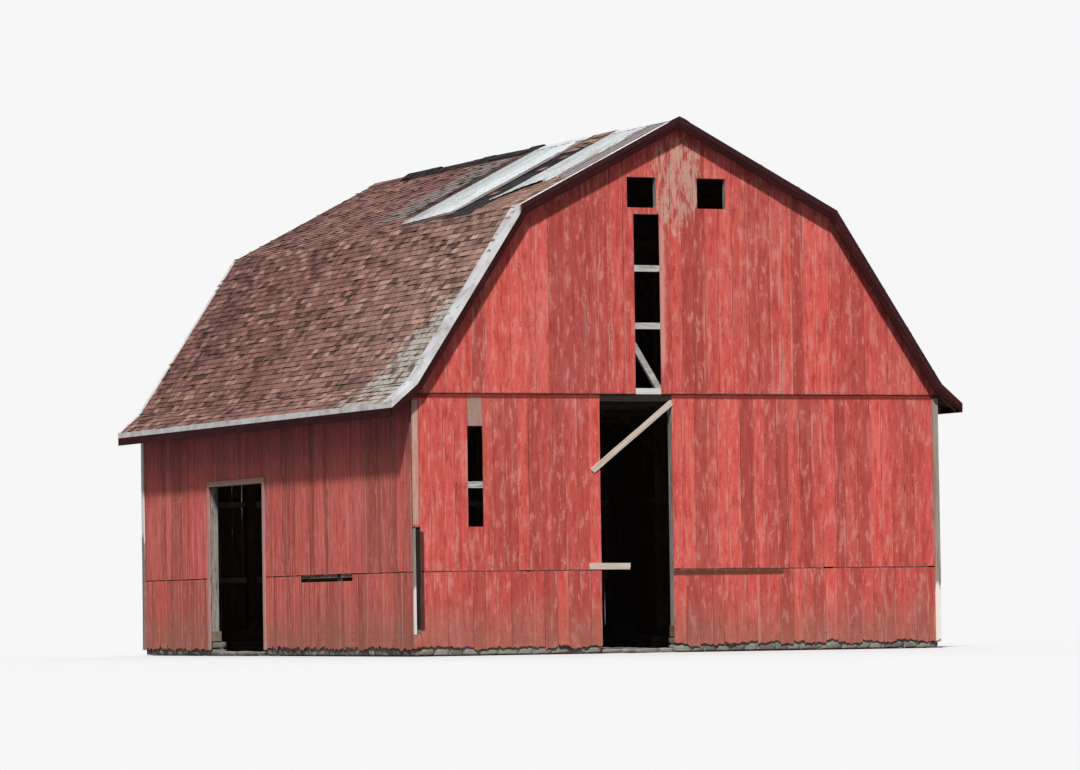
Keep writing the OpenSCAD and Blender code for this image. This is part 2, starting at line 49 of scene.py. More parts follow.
class Wire:
    """One output of a finish's nodes. Arithmetic on wires adds Math nodes."""

    def __init__(self, tree, socket=None):
        self.tree, self.socket = tree, socket

    def feed(self, socket, value):
        """Gives a node's input a link or a value."""
        if isinstance(value, Wire):
            self.tree.links.new(value.socket, socket)
        else:
            socket.default_value = value

    def node(self, kind, settings=None, inputs=None, out=0):
        """Adds a node, sets it up, and feeds its inputs."""
        made = self.tree.nodes.new(kind)
        for name, value in (settings or {}).items():
            setattr(made, name, value)
        for name, value in (inputs or {}).items():
            self.feed(made.inputs[name], value)
        return Wire(self.tree, made.outputs[out])

    def math(self, operation, *values):
        return self.node("ShaderNodeMath", {"operation": operation}, dict(enumerate(values)))

    def __add__(self, other):
        return self.math("ADD", self, other)

    def __sub__(self, other):
        return self.math("SUBTRACT", self, other)

    def __rsub__(self, other):
        return self.math("SUBTRACT", other, self)

    def __mul__(self, other):
        return self.math("MULTIPLY", self, other)

    __radd__ = __add__
    __rmul__ = __mul__

    def place(self):
        """Where a point of the piece lies in the barn's frame."""
        return self.node("ShaderNodeTexCoord", out="Object")

    def mark(self, name, out="Fac"):
        """What build() has noted at a point of the piece."""
        return self.node("ShaderNodeAttribute", {"attribute_name": name}, out=out)

    def axes(self):
        return [self.node("ShaderNodeSeparateXYZ", None, {0: self}, n) for n in range(3)]

    def scaled(self, x, y, z):
        """A vector stretched along each of its axes."""
        by = {"operation": "MULTIPLY"}
        return self.node("ShaderNodeVectorMath", by, {0: self, 1: (x, y, z)})

    def noise(self, detail=3, roughness=0.55):
        settings = {"Vector": self, "Scale": 1, "Detail": detail, "Roughness": roughness}
        return self.node("ShaderNodeTexNoise", None, settings)

    def clouds(self, fineness, detail=3, roughness=0.55):
        """Noise that is as fine along every axis."""
        return self.scaled(fineness, fineness, fineness).noise(detail, roughness)

    def away(self, value=0):
        """How far a value is from a number."""
        return self.math("ABSOLUTE", self - value if value else self)

    def far_from(self, point):
        by = {"operation": "DISTANCE"}
        return self.node("ShaderNodeVectorMath", by, {0: self, 1: point}, "Value")

    def larger(self, other):
        return self.math("MAXIMUM", self, other)

    def ramp(self, low, high):
        """0 below low, 1 above high, and smooth between them."""
        limits = {"Value": self, "From Min": low, "From Max": high}
        return self.node("ShaderNodeMapRange", {"interpolation_type": "SMOOTHSTEP"}, limits)

    def fall(self, low, high):
        """1 below low, 0 above high, and smooth between them."""
        return 1 - self.ramp(low, high)

    def blend(self, first, second):
        """A colour that goes from the first to the second as this value goes from 0 to 1."""
        mix = {"data_type": "RGBA"}
        return self.node("ShaderNodeMix", mix, {0: self, 6: first, 7: second}, 2)

    def shade(self, colour):
        """A colour made lighter or darker by this value."""
        by = {"operation": "SCALE"}
        return self.node("ShaderNodeVectorMath", by, {0: colour, "Scale": self})


def rgb(red, green, blue):
    return (red, green, blue, 1)


def layered(body, *layers):
    """A colour with others laid over it, each as far as its mask goes."""
    for mask, colour in layers:
        body = mask.blend(body, colour)
    return body


def new_finish(name):
    """A material with an empty shader, and the wire that its nodes start from."""
    material = bpy.data.materials.new(name)
    material.use_nodes = True
    return material, Wire(material.node_tree)


def coat(material, colour, roughness, relief, depth, metallic=0, specular=0.12):
    """Gives the shader its colour and gloss, and a relief of that depth in metres."""
    start = Wire(material.node_tree)
    shader = material.node_tree.nodes["Principled BSDF"]
    bump = {"Height": relief, "Strength": 1, "Distance": depth}
    start.feed(shader.inputs["Normal"], start.node("ShaderNodeBump", None, bump))
    start.feed(shader.inputs["Base Color"], colour)
    start.feed(shader.inputs["Roughness"], roughness)
    start.feed(shader.inputs["Metallic"], metallic)
    start.feed(shader.inputs["Specular IOR Level"], specular)


class Pattern:
    """The shape just modelled, as points in a unit box and the faces between them."""

    def __init__(self):
        bpy.ops.object.mode_set(mode="OBJECT")
        piece = bpy.context.object
        points = np.array([vertex.co for vertex in piece.data.vertices], float)
        low, high = points.min(0), points.max(0)
        self.points = (points - low) / (high - low)
        self.corners = np.array([loop.vertex_index for loop in piece.data.loops])
        self.totals = np.array([polygon.loop_total for polygon in piece.data.polygons])
        bpy.data.objects.remove(piece)


def cube_in_hand(width, length, thick):
    """Starts a shape of that size across, along and out, in edit mode."""
    bpy.ops.mesh.primitive_cube_add(size=1)
    bpy.ops.object.mode_set(mode="EDIT")
    bpy.ops.transform.resize(value=(width, length, thick))


def plain(left, right, foot, head, back, thick):
    """The row of a copy with square ends that lies flat on its face."""
    return left, right, foot, head, foot, head, back, back, thick


def stretch(pattern, rows):
    """Copies of a pattern on a face. A row gives the left and right edge, the foot and head
    of the left edge, the foot and head of the right edge, how far out the back lies at the
    foot and at the head, and the thickness."""
    u, v, w = pattern.points.T
    rows = np.array(rows, float).T[:9, :, None]
    left, right, foot_l, head_l, foot_r, head_r, back_f, back_h, thick = rows
    foot = foot_l + u * (foot_r - foot_l)
    head = head_l + u * (head_r - head_l)
    out = back_f + v * (back_h - back_f) + w * thick
    return np.stack([left + u * (right - left), foot + v * (head - foot), out], axis=2)


def on_face(face, points):
    """Points measured across, up and out of a face, in the barn's frame."""
    origin, across, up, out = (np.array(v, float) for v in face)
    return origin + points @ np.array([across, up, out])


def lay(face, pattern, *rows):
    return on_face(face, stretch(pattern, rows))


def one_tone_each(number, pattern):
    """A random value for each copy, the same at all of its points."""
    return np.repeat(rng.random(number), len(pattern.points))


def build(name, pattern, points, smooth=False, **marks):
    """One mesh of placed copies. Marks are values at the points that the finish reads."""
    count, each = points.shape[:2]
    mesh = bpy.data.meshes.new(name)
    mesh.vertices.add(count * each)
    mesh.vertices.foreach_set("co", points.ravel())
    corners = pattern.corners + each * np.arange(count)[:, None]
    mesh.loops.add(corners.size)
    mesh.loops.foreach_set("vertex_index", corners.ravel())
    totals = np.tile(pattern.totals, count)
    mesh.polygons.add(len(totals))
    mesh.polygons.foreach_set("loop_start", np.cumsum(totals) - totals)
    mesh.polygons.foreach_set("use_smooth", np.full(len(totals), smooth))
    for mark, values in marks.items():
        values = np.array(values, float)
        kind, field = ("FLOAT_VECTOR", "vector") if values.ndim == 3 else ("FLOAT", "value")
        mesh.attributes.new(mark, kind, "POINT").data.foreach_set(field, values.ravel())
    mesh.update(calc_edges=True)
    mesh.validate()
    piece = bpy.data.objects.new(name, mesh)
    bpy.context.scene.collection.objects.link(piece)
    return piece


def dress(piece, finish, slot, *nodes):
    """Gives a piece its finish and its body, and hides the CAD nodes that it stands for. The slot
    is not used.
    """
    piece.data.materials.append(finish)
    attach(piece, "root")
    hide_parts(*nodes)


# Faces of the frame and of the doorways, in metres
SIDE, END = 5.46, 7.595
FRONT = ((0, -END, 0), (1, 0, 0), (0, 0, 1), (0, -1, 0))
BACK = ((0, END, 0), (-1, 0, 0), (0, 0, 1), (0, 1, 0))
LEFT = ((-SIDE, 0, 0), (0, -1, 0), (0, 0, 1), (-1, 0, 0))
RIGHT = ((SIDE, 0, 0), (0, 1, 0), (0, 0, 1), (1, 0, 0))
FRONT_DOOR, SIDE_DOOR = (-1.66, -0.17), (-3.4395, -0.308)
FOOTING_TOP, THRESHOLD_TOP, FOOTING_DEPTH = 0.3, 0.1, 0.32
STONE_L, JOINT = 0.34, 0.012

stone_shapes = []
for number in range(4):
    cube_in_hand(0.33, 0.15, 0.3)
    bpy.ops.mesh.subdivide(number_cuts=3)
    bpy.ops.transform.tosphere(value=0.2)
    bpy.ops.transform.vertex_random(offset=0.012, seed=number)
    stone_shapes.append(Pattern())


def uneven(start, end, width, least, most):
    """The edges of pieces of about that width, side by side."""
    steps = rng.uniform(least, most, max(1, round((end - start) / width)))
    return start + (end - start) * np.cumsum([0, *steps]) / steps.sum()


stones, bed = [[] for _ in stone_shapes], []
inner_end = END - FOOTING_DEPTH
for face, (start, end), door in (
    (FRONT, (-SIDE, SIDE), FRONT_DOOR),
    (BACK, (-SIDE, SIDE), None),
    (LEFT, (-inner_end, inner_end), SIDE_DOOR),
    (RIGHT, (-inner_end, inner_end), None),
):
    runs = [(start, end, FOOTING_TOP)]
    if door:
        runs = [(start, door[0], FOOTING_TOP), (door[1], end, FOOTING_TOP), (*door, THRESHOLD_TOP)]
    for start, end, top in runs:
        levels = [0, top]
        if top == FOOTING_TOP:
            levels.insert(1, top * rng.uniform(0.46, 0.54))
        for foot, head in zip(levels, levels[1:]):
            edges = uneven(start, end, STONE_L, 0.65, 1.35)
            for left, right in zip(edges + JOINT / 2, edges[1:] - JOINT / 2):
                low, high = foot + rng.uniform(0, JOINT), head - rng.uniform(0, JOINT)
                kind = rng.integers(len(stone_shapes))
                row = plain(left, right, low, high, -FOOTING_DEPTH, FOOTING_DEPTH)
                stones[kind].append(lay(face, stone_shapes[kind], row))
        row = plain(start, end, 0, top - JOINT, 0.01 - FOOTING_DEPTH, FOOTING_DEPTH - 0.02)
        bed.append(lay(face, stone_shapes[0], row))

field_stone, at = new_finish("field_stone")
place, tone = at.place(), at.mark("tone")
speckle, cloud = place.clouds(70, 4, 0.7), place.clouds(6, 4, 0.6)
lichen = (cloud + place.clouds(2)).ramp(1.08, 1.2)
body = layered(
    (tone + cloud * 0.4).ramp(0.3, 1.0).blend(rgb(0.17, 0.15, 0.13), rgb(0.30, 0.28, 0.25)),
    (speckle.ramp(0.45, 0.75), rgb(0.13, 0.12, 0.11)),
    (lichen * 0.7, rgb(0.30, 0.32, 0.22)),
)
coat(field_stone, body, 0.9, cloud * 0.7 + speckle * 0.3, 0.02)
for number, (shape, placed) in enumerate(zip(stone_shapes, stones)):
    tones = one_tone_each(len(placed), shape)
    name = f"foundation_stones_{number}"
    piece = build(name, shape, np.concatenate(placed), smooth=True, tone=tones)
    dress(piece, field_stone, "foundation_stone", "foundation")

lime_mortar, at = new_finish("lime_mortar")
place = at.place()
body = place.clouds(3).ramp(0.35, 0.7).blend(rgb(0.33, 0.31, 0.27), rgb(0.22, 0.20, 0.17))
coat(lime_mortar, body, 0.95, place.clouds(90, 4, 0.7), 0.006)
piece = build("foundation_mortar", stone_shapes[0], np.concatenate(bed))
dress(piece, lime_mortar, "foundation_stone", "foundation")

# Stone pads: one broad flat field stone under each inner post, between the gable bents. It
# is set level in the earth, and the post stands loose on it.
INNER_POST_X, BENT_Y, PAD, PAD_TOP = 3.1086, 3.7475, 0.21, 0.3
pads = []
for x in (-INNER_POST_X, INNER_POST_X):
    for y in (-BENT_Y, 0, BENT_Y):
        ground = ((x, y, 0), (1, 0, 0), (0, 1, 0), (0, 0, 1))
        pads.append(lay(ground, stone_shapes[2], plain(-PAD, PAD, -PAD, PAD, 0, PAD_TOP)))
tones = one_tone_each(len(pads), stone_shapes[2])
piece = build("post_pad_stones", stone_shapes[2], np.concatenate(pads), smooth=True, tone=tones)
dress(piece, field_stone, "foundation_stone", "post_pads")

# Timber frame: hewn posts, beams, plates and braces of oak gone brown and grey inside the
# barn, pegged at their joints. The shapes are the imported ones, and the grain runs along
# each timber.
BROWN, UMBER = rgb(0.27, 0.17, 0.105), rgb(0.12, 0.075, 0.045)
# How fine the grain is along each axis
UPRIGHT, CROSSWISE, LENGTHWISE, SLANTING = (9, 9, 0.5), (0.5, 9, 9), (9, 0.5, 9), (7, 7, 3)


def timber_finish(name, run, light, dark, worn=0.0, dark_and_shaded=0.0, sunned=None):
    """Old wood with a run of grain. A painted shade blackens the faces that lie against the boards,
    by the share given, and sunned is the colour of a beam's outer face where the slot over it is
    open; below the seam that face is painted near-black, also a painted shade."""
    material, at = new_finish(name)
    place = at.place()
    x, y, z = place.axes()
    fibres = place.scaled(*(9 * n for n in run)).noise(4, 0.65)
    rings = place.scaled(*run).noise(3)
    checks = place.scaled(*(2.6 * n for n in run)).noise(4).away(0.5)
    ends = y.away().ramp(END - 0.005, END - 0.001)
    against = ends.larger(x.away().ramp(SIDE - 0.005, SIDE - 0.001))
    body = layered(
        (fibres * 0.6 + rings * 0.55).ramp(0.35, 0.8).blend(dark, light),
        (checks.fall(0.0, 0.018), rgb(0.02, 0.014, 0.01)),
        (place.clouds(0.8).ramp(0.45, 0.65) * (0.35 + worn), rgb(0.33, 0.30, 0.27)),
        # Painted shade: the faces that lie against the boards go near-black
        (against * dark_and_shaded, rgb(0.02, 0.014, 0.012)),
    )
    if sunned:
        # Painted shade: a beam's outer face is near-black below the seam, and sun-bleached pale
        # above it
        body = ends.blend(body, z.ramp(4.884, 4.888).blend(rgb(0.03, 0.02, 0.017), sunned))
    coat(material, body, 0.85, fibres * 0.6 + checks.ramp(0.0, 0.03) * 0.4, 0.004)
    return material


def finish_nodes(finish, *nodes):
    """Gives the CAD nodes that show as they are their finish."""
    for node in nodes:
        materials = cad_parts[node].data.materials
        materials.clear()
        materials.append(finish)


finish = timber_finish("oak_upright", UPRIGHT, BROWN, UMBER, dark_and_shaded=1)
finish_nodes(finish, "wall_posts", "inner_posts", "lower_rafters")
finish = timber_finish("oak_crosswise", CROSSWISE, BROWN, UMBER)
finish_nodes(finish, "straining_beams", "upper_rafters")
finish = timber_finish("oak_lengthwise", LENGTHWISE, BROWN, UMBER)
finish_nodes(finish, "wall_plates", "purlin_plates", "side_girts", "sills")
finish = timber_finish("oak_slanting", SLANTING, BROWN, UMBER)
finish_nodes(finish, "tie_braces", "long_braces", "roof_lookouts")

# Tie beams, girts, door posts and the strut behind the slot: the same wood, bleached to a
# pale silver grey where the sun has reached it for years.
PALE, SILVER = rgb(0.66, 0.65, 0.62), rgb(0.40, 0.37, 0.34)
finish = timber_finish("tie_beam_oak", CROSSWISE, rgb(0.30, 0.25, 0.20), UMBER, sunned=PALE)
finish_nodes(finish, "tie_beams")
finish = timber_finish("bleached_crosswise", CROSSWISE, PALE, SILVER, worn=0.3)
finish_nodes(finish, "gable_girts", "gable_strut")
finish = timber_finish("bleached_upright", UPRIGHT, SILVER, rgb(0.14, 0.12, 0.09), worn=0.3)
finish_nodes(finish, "door_frames", "window_linings")

# Wall boards: rough pine boards about 250 mm wide, nailed upright to the girts in three
# tiers and painted red once. One board is modelled, and every board of the barn is a copy,
# stretched to its place, cut round the openings, cupped, bowed and worn at its ends.
BOARD_W, BOARD_T = 0.25, 0.025


def select_edges(rule):
    """Selects the edges that a rule on their two ends picks."""
    bpy.ops.mesh.select_mode(type="EDGE")
    bpy.ops.mesh.select_all(action="DESELECT")
    mesh = bmesh.from_edit_mesh(bpy.context.object.data)
    for edge in mesh.edges:
        edge.select_set(bool(rule(*(end.co for end in edge.verts))))
    bmesh.update_edit_mesh(bpy.context.object.data)


def cut(axis, number):
    """Cuts the shape across, at even steps along an axis."""
    select_edges(lambda a, b: max(range(3), key=lambda i: abs(a[i] - b[i])) == axis)
    bpy.ops.mesh.subdivide(number_cuts=number)


def on_outer_arris(a, b):
    return a.z > 0 < b.z and abs(a.x) == abs(b.x) == BOARD_W / 2 and a.x * b.x > 0


cube_in_hand(BOARD_W, 1, BOARD_T)
cut(0, 3)
cut(1, 9)
select_edges(on_outer_arris)
bpy.ops.mesh.bevel(offset=0.003, segments=1)
board_shape = Pattern()

# The roof surface across the barn, from the ridge to the eave tip
ROOF_LINE = ((0, 10.15), (3.3, 8.42), (5.5, 5.1), (5.95, 4.72))
DECK_DEPTH = 0.04


def under_roof(x):
    """Height of the gable boards' heads at distance x from the middle."""
    heights = []
    for (x0, z0), (x1, z1) in zip(ROOF_LINE, ROOF_LINE[1:]):
        slope = (z1 - z0) / (x1 - x0)
        heights.append(z0 + slope * (abs(x) - x0) - DECK_DEPTH * math.hypot(1, slope))
    return max(min(heights[:2]), heights[2] if abs(x) > 5 else 0) - 0.003


def lay_boards(marks, foot, head, rag, holes=(), creases=(), bare=None):
    """Rows for boards side by side, with an edge at every mark. The head is a height or a
    rule for it, and rag is how ragged their feet and heads are. Boards are cut round a hole
    (left, right, foot, head) and halved at a crease, where the head turns. The board over
    the hole named bare has no paint left."""
    head_at = head if callable(head) else lambda x: head
    sides = [side for hole in holes for side in hole[:2]] + list(creases)
    rows = []
    for start, end in zip(marks, marks[1:]):
        edges = uneven(start, end, BOARD_W, 0.86, 1.14)
        for left, right in zip(edges, edges[1:]):
            gap, seeds = rng.uniform(0.001, 0.0045), rng.random(5)
            left, right = left + gap, right - gap
            cuts = sorted({left, right, *(c for c in sides if left + 0.01 < c < right - 0.01)})
            for a, b in zip(cuts, cuts[1:]):
                low, low_rag = foot, rag[0]
                for hole in sorted(holes, key=lambda hole: hole[2]):
                    if hole[0] < (a + b) / 2 < hole[1]:
                        if hole[2] > low:
                            below = plain(a, b, low, hole[2], 0, BOARD_T)
                            rows.append((*below, left, right, *seeds, low_rag, 0, 0))
                        low, low_rag = hole[3], 0
                tops = head_at(a), head_at(b)
                worn = 0.5 if bare and low == bare[3] else 0
                if min(tops) > low + 0.01:
                    above = (a, b, low, tops[0], low, tops[1], 0, 0, BOARD_T)
                    rows.append((*above, left, right, *seeds, low_rag, rag[1], worn))
    return rows


nailed = []


def board_piece(name, face, rows, wear=0.0):
    """Boards of one face as a piece, seasoned by the weather."""
    nailed.extend((face, row) for row in rows)
    points = stretch(board_shape, rows)
    u, v, w = board_shape.points.T
    left, right, s0, s1, s2, s3, s4, low_rag, high_rag, bare = np.array(rows).T[9:, :, None]
    across, up = points[..., 0].copy(), points[..., 1].copy()
    share = (across - left) / (right - left)
    bow = 0.0016 * np.sin(1.7 * up + math.tau * s0) + 0.0008 * np.sin(5.3 * up + math.tau * s1)
    jag = np.sin(u * 9 + math.tau * s3) * 0.5 + np.sin(u * 23 + math.tau * s4) * 0.5
    cup = (2 * share - 1) ** 2 * (0.007 * s1 - 0.0025)
    sprung = (s4 > 0.93) * 0.03 * np.clip(1 - v * 3, 0, 1) ** 2 * (low_rag > 0.01)
    points[..., 0] += bow
    points[..., 1] += low_rag * (jag + s0 * 2) * (v < 0.01) - high_rag * (jag + 1) * (v > 0.99)
    points[..., 2] += cup + 0.0035 * np.sin(1.1 * up + math.tau * s2)
    points[..., 2] += sprung
    flat = np.ones_like(up)
    worn = wear + bare + (s2 - 0.5) * 0.14 + (s4 > 0.95) * 0.05
    return build(
        name,
        board_shape,
        on_face(face, points),
        grain=np.stack([across - left, up, flat * s3 * 97], axis=2),
        tone=flat * s0,
        wear=flat * worn,
        paint=flat * w,
        edge=(2 * share - 1) * (0.5 + s3),
    )


red_paint, at = new_finish("weathered_red_paint")
place, grain = at.place(), at.mark("grain", "Vector")
x, y, z = place.axes()
fibres = grain.scaled(95, 2.4, 1).noise(4, 0.65)
streaks = grain.scaled(13, 0.55, 1).noise(4, 0.6)
drifts = grain.scaled(5, 0.9, 1).noise(3, 0.5)
flecks = grain.scaled(9, 2.6, 1).noise(4, 0.7)
patches = place.scaled(0.62, 0.62, 0.45).noise(4, 0.6)
on_sides, behind_front = x.away().ramp(5.47, 5.48), y.ramp(-7.6, -7.5)
paint = layered(
    fibres.ramp(0.3, 0.7).blend(rgb(0.47, 0.068, 0.056), rgb(0.60, 0.098, 0.082)),
    (streaks.ramp(0.46, 0.68) * 0.4, rgb(0.64, 0.20, 0.165)),
    (streaks.fall(0.28, 0.42) * 0.8, rgb(0.38, 0.045, 0.038)),
    (patches.ramp(0.5, 0.72) * 0.3, rgb(0.60, 0.18, 0.15)),
)
paint = ((at.mark("tone") - 0.5) * (on_sides * 0.35 + 0.5) + 1).shade(paint)
edges = at.mark("edge").away().ramp(0.35, 1.4)
rubbed = edges * drifts.ramp(0.42, 0.62) + drifts.ramp(0.58, 0.8) * 0.6
rubbed = (rubbed + fibres * 1.1 + streaks * 0.5 - 0.85).ramp(0.15, 0.75)
# Between the windows most of the paint has flaked off, and the board right of the slot has
# lost it along the edge
faded = (place.scaled(1, 1, 0.5).far_from((0.02, -7.62, 4.46)) + patches * 0.9).fall(0.7, 1.25)
flaked = (faded * 0.9 + flecks * 2.6 + fibres * 0.6 - 2.15).ramp(0.0, 0.5)
by_slot = x.away(-0.33) + flecks * 0.26 + z.away(6.7).ramp(1.0, 1.8) * 0.1 + behind_front
by_slot = by_slot.fall(0.18, 0.225) * (streaks.ramp(0.3, 0.55) * 0.45 + 0.45)
chalky = on_sides * (streaks.ramp(0.35, 0.62) * 0.34 + patches * 0.14)
paint = layered(
    paint,
    (rubbed * 0.6, rgb(0.64, 0.25, 0.205)),
    (flecks.ramp(0.53, 0.64) * 0.5, rgb(0.70, 0.28, 0.23)),
    (flecks.fall(0.36, 0.47) * 0.55, rgb(0.34, 0.042, 0.036)),
    (flaked * 0.8, rgb(0.56, 0.34, 0.265)),
    (by_slot, rgb(0.62, 0.28, 0.235)),
    (chalky, rgb(0.59, 0.22, 0.18)),
)
wood = fibres.ramp(0.3, 0.75).blend(rgb(0.26, 0.19, 0.15), rgb(0.43, 0.33, 0.27))
rain = (z + patches * 1.2 + fibres * 0.4).fall(0.9, 2.1)
bare = fibres * 0.55 + streaks * 0.75 + patches * 0.35 + at.mark("wear")
bare = bare + faded * 0.09 + rain * 0.06
# Shadow lines at the two seams, the lower one only right of the doorway
height = z + streaks * 0.03
beside = x.ramp(2.1, 2.5) + 1 - x.ramp(-0.9, -0.6) + behind_front
upper_seam, lower_seam = height.away(4.862), height.away(1.522) + beside
# Where the corner boards are lost the wall was never painted, and its gap casts a shadow
by_front = y.away(-7.62)
trace = x.away(-5.425) + flecks * 0.07 + z.away(3.6).ramp(1.15, 1.2) + by_front
trace = trace.fall(0.085, 0.115) * (flecks.ramp(0.38, 0.56) * 0.4 + 0.5)
unpainted = fibres.ramp(0.3, 0.75).blend(rgb(0.42, 0.27, 0.21), rgb(0.62, 0.45, 0.37))
by_gap = x.away(-5.31) + z.away(1.4).ramp(0.9, 1.1) + by_front
splits = grain.scaled(6, 0.3, 1).noise(4, 0.55).away(0.5)
cracked = splits.fall(0.0, 0.006) * streaks.ramp(0.45, 0.6)
# Painted shade: the side walls darken to a purple maroon under the eaves, down to where the eave's
# shadow ends
under_eave = on_sides * (z + streaks * 0.5).ramp(3.55, 4.4)
outer = layered(
    paint,
    (bare.ramp(1.04, 1.2) * 0.85, wood),
    (rain * 0.5, rgb(0.30, 0.16, 0.11)),
    (upper_seam.fall(0.035, 0.07) * 0.85, rgb(0.17, 0.018, 0.014)),
    (lower_seam.fall(0.035, 0.07) * 0.85, rgb(0.075, 0.032, 0.016)),
    (trace, unpainted),
    (by_gap.fall(0.035, 0.06) * 0.85, rgb(0.035, 0.015, 0.012)),
    (cracked * 0.8, rgb(0.10, 0.022, 0.018)),
    (under_eave * 0.42, rgb(0.08, 0.028, 0.048)),
)
inner = fibres.ramp(0.3, 0.7).blend(rgb(0.10, 0.065, 0.04), rgb(0.24, 0.17, 0.115))
body = at.mark("paint").ramp(0.35, 0.65).blend(inner, outer)
coat(red_paint, body, 0.82, fibres * 0.6 - cracked * 0.4, 0.003)


def siding(name, face, node, tier, runs, wear=0.0, **openings):
    """The boards of one tier, in runs between the corners and the doorways."""
    rows = [row for marks in runs for row in lay_boards(marks, *tier, **openings)]
    dress(board_piece(name, face, rows, wear), red_paint, "red_boards", node)


# Front gable wall: a seam over the tie beam, two windows, and the tall slot where two
# boards are gone. Below it the doorway, a missing board and a lost strip at the corner.
SIDE_OUT = 5.485
# Each tier's foot and head, and how ragged its boards are there
RAG = (0.006, 0.004)
SKIRT, WALL = (0.12, 1.564, (0.035, 0.004)), (1.576, 4.8735, RAG)
GABLE, SIDE_WALL = (4.8855, under_roof, RAG), (1.576, 5.057, RAG)
# Openings: left, right, foot and head
WINDOWS = [(x - 0.3, x + 0.3, 8.42, 9.0) for x in (-0.73, 0.73)]
SLOT, LOST_BOARD = (-0.9, -0.37, 4.0, 8.3), (-4.36, -4.06, 2.4, 4.28)
CORNER_GAP = (-SIDE_OUT, 0.15 - SIDE_OUT, 0.4, 2.4)
KNEES_AND_RIDGE = (-3.3, 0, 3.3)

runs = [(-SIDE_OUT, *SLOT[:2], SIDE_OUT)]
openings = {"holes": [SLOT, *WINDOWS], "creases": KNEES_AND_RIDGE}
siding("front_gable_siding", FRONT, "front_gable_boards", GABLE, runs, **openings)
runs = [(*CORNER_GAP[:2], *LOST_BOARD[:2], FRONT_DOOR[0])]
openings = {"holes": [CORNER_GAP, LOST_BOARD], "bare": LOST_BOARD}
siding("front_siding_left", FRONT, "front_wall_left", WALL, runs, 0.03, **openings)
right_of_door = (FRONT_DOOR[1], SIDE_OUT)
siding("front_siding_right", FRONT, "front_wall_right", WALL, [right_of_door], -0.03)
runs = [(*CORNER_GAP[:2], FRONT_DOOR[0]), right_of_door]
siding("front_skirt_siding", FRONT, "front_skirt", SKIRT, runs, holes=[CORNER_GAP])

# Left wall: boards up to the lookouts, a wide doorway with short boards nailed over it, and
# a flat slot cut through the head of the skirt.
SIDE_DOOR_HEAD, SKIRT_SLOT = 3.45, (1.72, 4.52, 1.439, 9)
OVER_DOOR = (SIDE_DOOR_HEAD, SIDE_WALL[1], (0, 0.004))
before_door, behind_door = (SIDE_DOOR[1], END), (-END, SIDE_DOOR[0])
runs = [(SIDE_DOOR[1], END - 0.045)]
siding("left_siding_front", LEFT, "left_wall_front", SIDE_WALL, runs, 0.03)
siding("left_siding_back", LEFT, "left_wall_back", SIDE_WALL, [behind_door], 0.03)
siding("left_siding_over_door", LEFT, "left_wall_over_door", OVER_DOOR, [SIDE_DOOR], 0.03)
runs = [before_door, behind_door]
siding("left_skirt_siding", LEFT, "left_skirt", SKIRT, runs, 0.05, holes=[SKIRT_SLOT])

# Right wall and back wall: whole walls of the same boards, nailed up in the same tiers,
# with two windows in the back gable.
WHOLE_SIDE, WHOLE_BACK = [(-END, END)], [(-SIDE_OUT, SIDE_OUT)]
siding("right_siding", RIGHT, "right_wall", SIDE_WALL, WHOLE_SIDE)
siding("right_skirt_siding", RIGHT, "right_skirt", SKIRT, WHOLE_SIDE)
openings = {"holes": WINDOWS, "creases": KNEES_AND_RIDGE}
siding("back_gable_siding", BACK, "back_gable_boards", GABLE, WHOLE_BACK, 0.02, **openings)
siding("back_siding", BACK, "back_wall", WALL, WHOLE_BACK)
siding("back_skirt_siding", BACK, "back_skirt", SKIRT, WHOLE_BACK)

# Nails: two cut iron nails through each board at every girt, driven home by hand, their
# heads a little proud of the paint and rusted brown.
NAIL, NAIL_IN, NAIL_H = 0.011, 0.035, 0.009
SKIRT_NAILS, WALL_NAILS = (0.32, 0.45, 1.5), (1.64, 3.15, 3.22, 4.82)
GABLE_NAILS = (4.94, 6.15, 6.21, 7.24, 7.3, 8.33, 8.39, 9.1, 9.6)
bpy.ops.mesh.primitive_cylinder_add(vertices=6, radius=0.5, depth=1)
nail_shape = Pattern()
heads = []
for face, (left, right, foot_l, head_l, foot_r, head_r, *_) in nailed:
    for level in SKIRT_NAILS + WALL_NAILS + GABLE_NAILS:
        if max(foot_l, foot_r) + 0.03 < level < min(head_l, head_r) - 0.03:
            for x in (left + NAIL_IN, right - NAIL_IN):
                x, z = x + rng.uniform(-0.008, 0.008), level + rng.uniform(-0.02, 0.02)
                row = plain(x - NAIL / 2, x + NAIL / 2, z, z + NAIL, BOARD_T - 0.004, NAIL_H)
                heads.append(lay(face, nail_shape, row))
rusty, at = new_finish("rusty_nail")
specks = at.place().clouds(300)
body = specks.ramp(0.35, 0.7).blend(rgb(0.05, 0.025, 0.018), rgb(0.16, 0.07, 0.045))
coat(rusty, body, 0.8, specks, 0.001)
piece = build("board_nails", nail_shape, np.concatenate(heads))
dress(piece, rusty, "red_boards", "front_wall_right")

# Corner boards: two narrow boards at each corner but the front left one, which has lost
# them. Their paint is gone to grey wood, and only their feet have kept some white.
CORNER_W, CORNER_T, CORNER_FOOT, CORNER_TOP, END_OUT = 0.12, 0.022, 0.12, 4.83, 7.62


def lone_board(left, right, foot, head, back, thick, rag):
    """The row of a board that stands by itself."""
    row = plain(left, right, foot, head, back, thick)
    return (*row, left, right, *rng.random(5), *rag, 0)


def board_group(name, placed):
    """Boards on several faces as one piece."""
    parts = [board_piece(name, face, [row]) for face, row in placed]
    bpy.ops.object.select_all(action="DESELECT")
    for part in parts:
        part.select_set(True)
    bpy.context.view_layer.objects.active = parts[0]
    bpy.ops.object.join()
    parts[0].name = name
    parts[0].select_set(False)
    return parts[0]


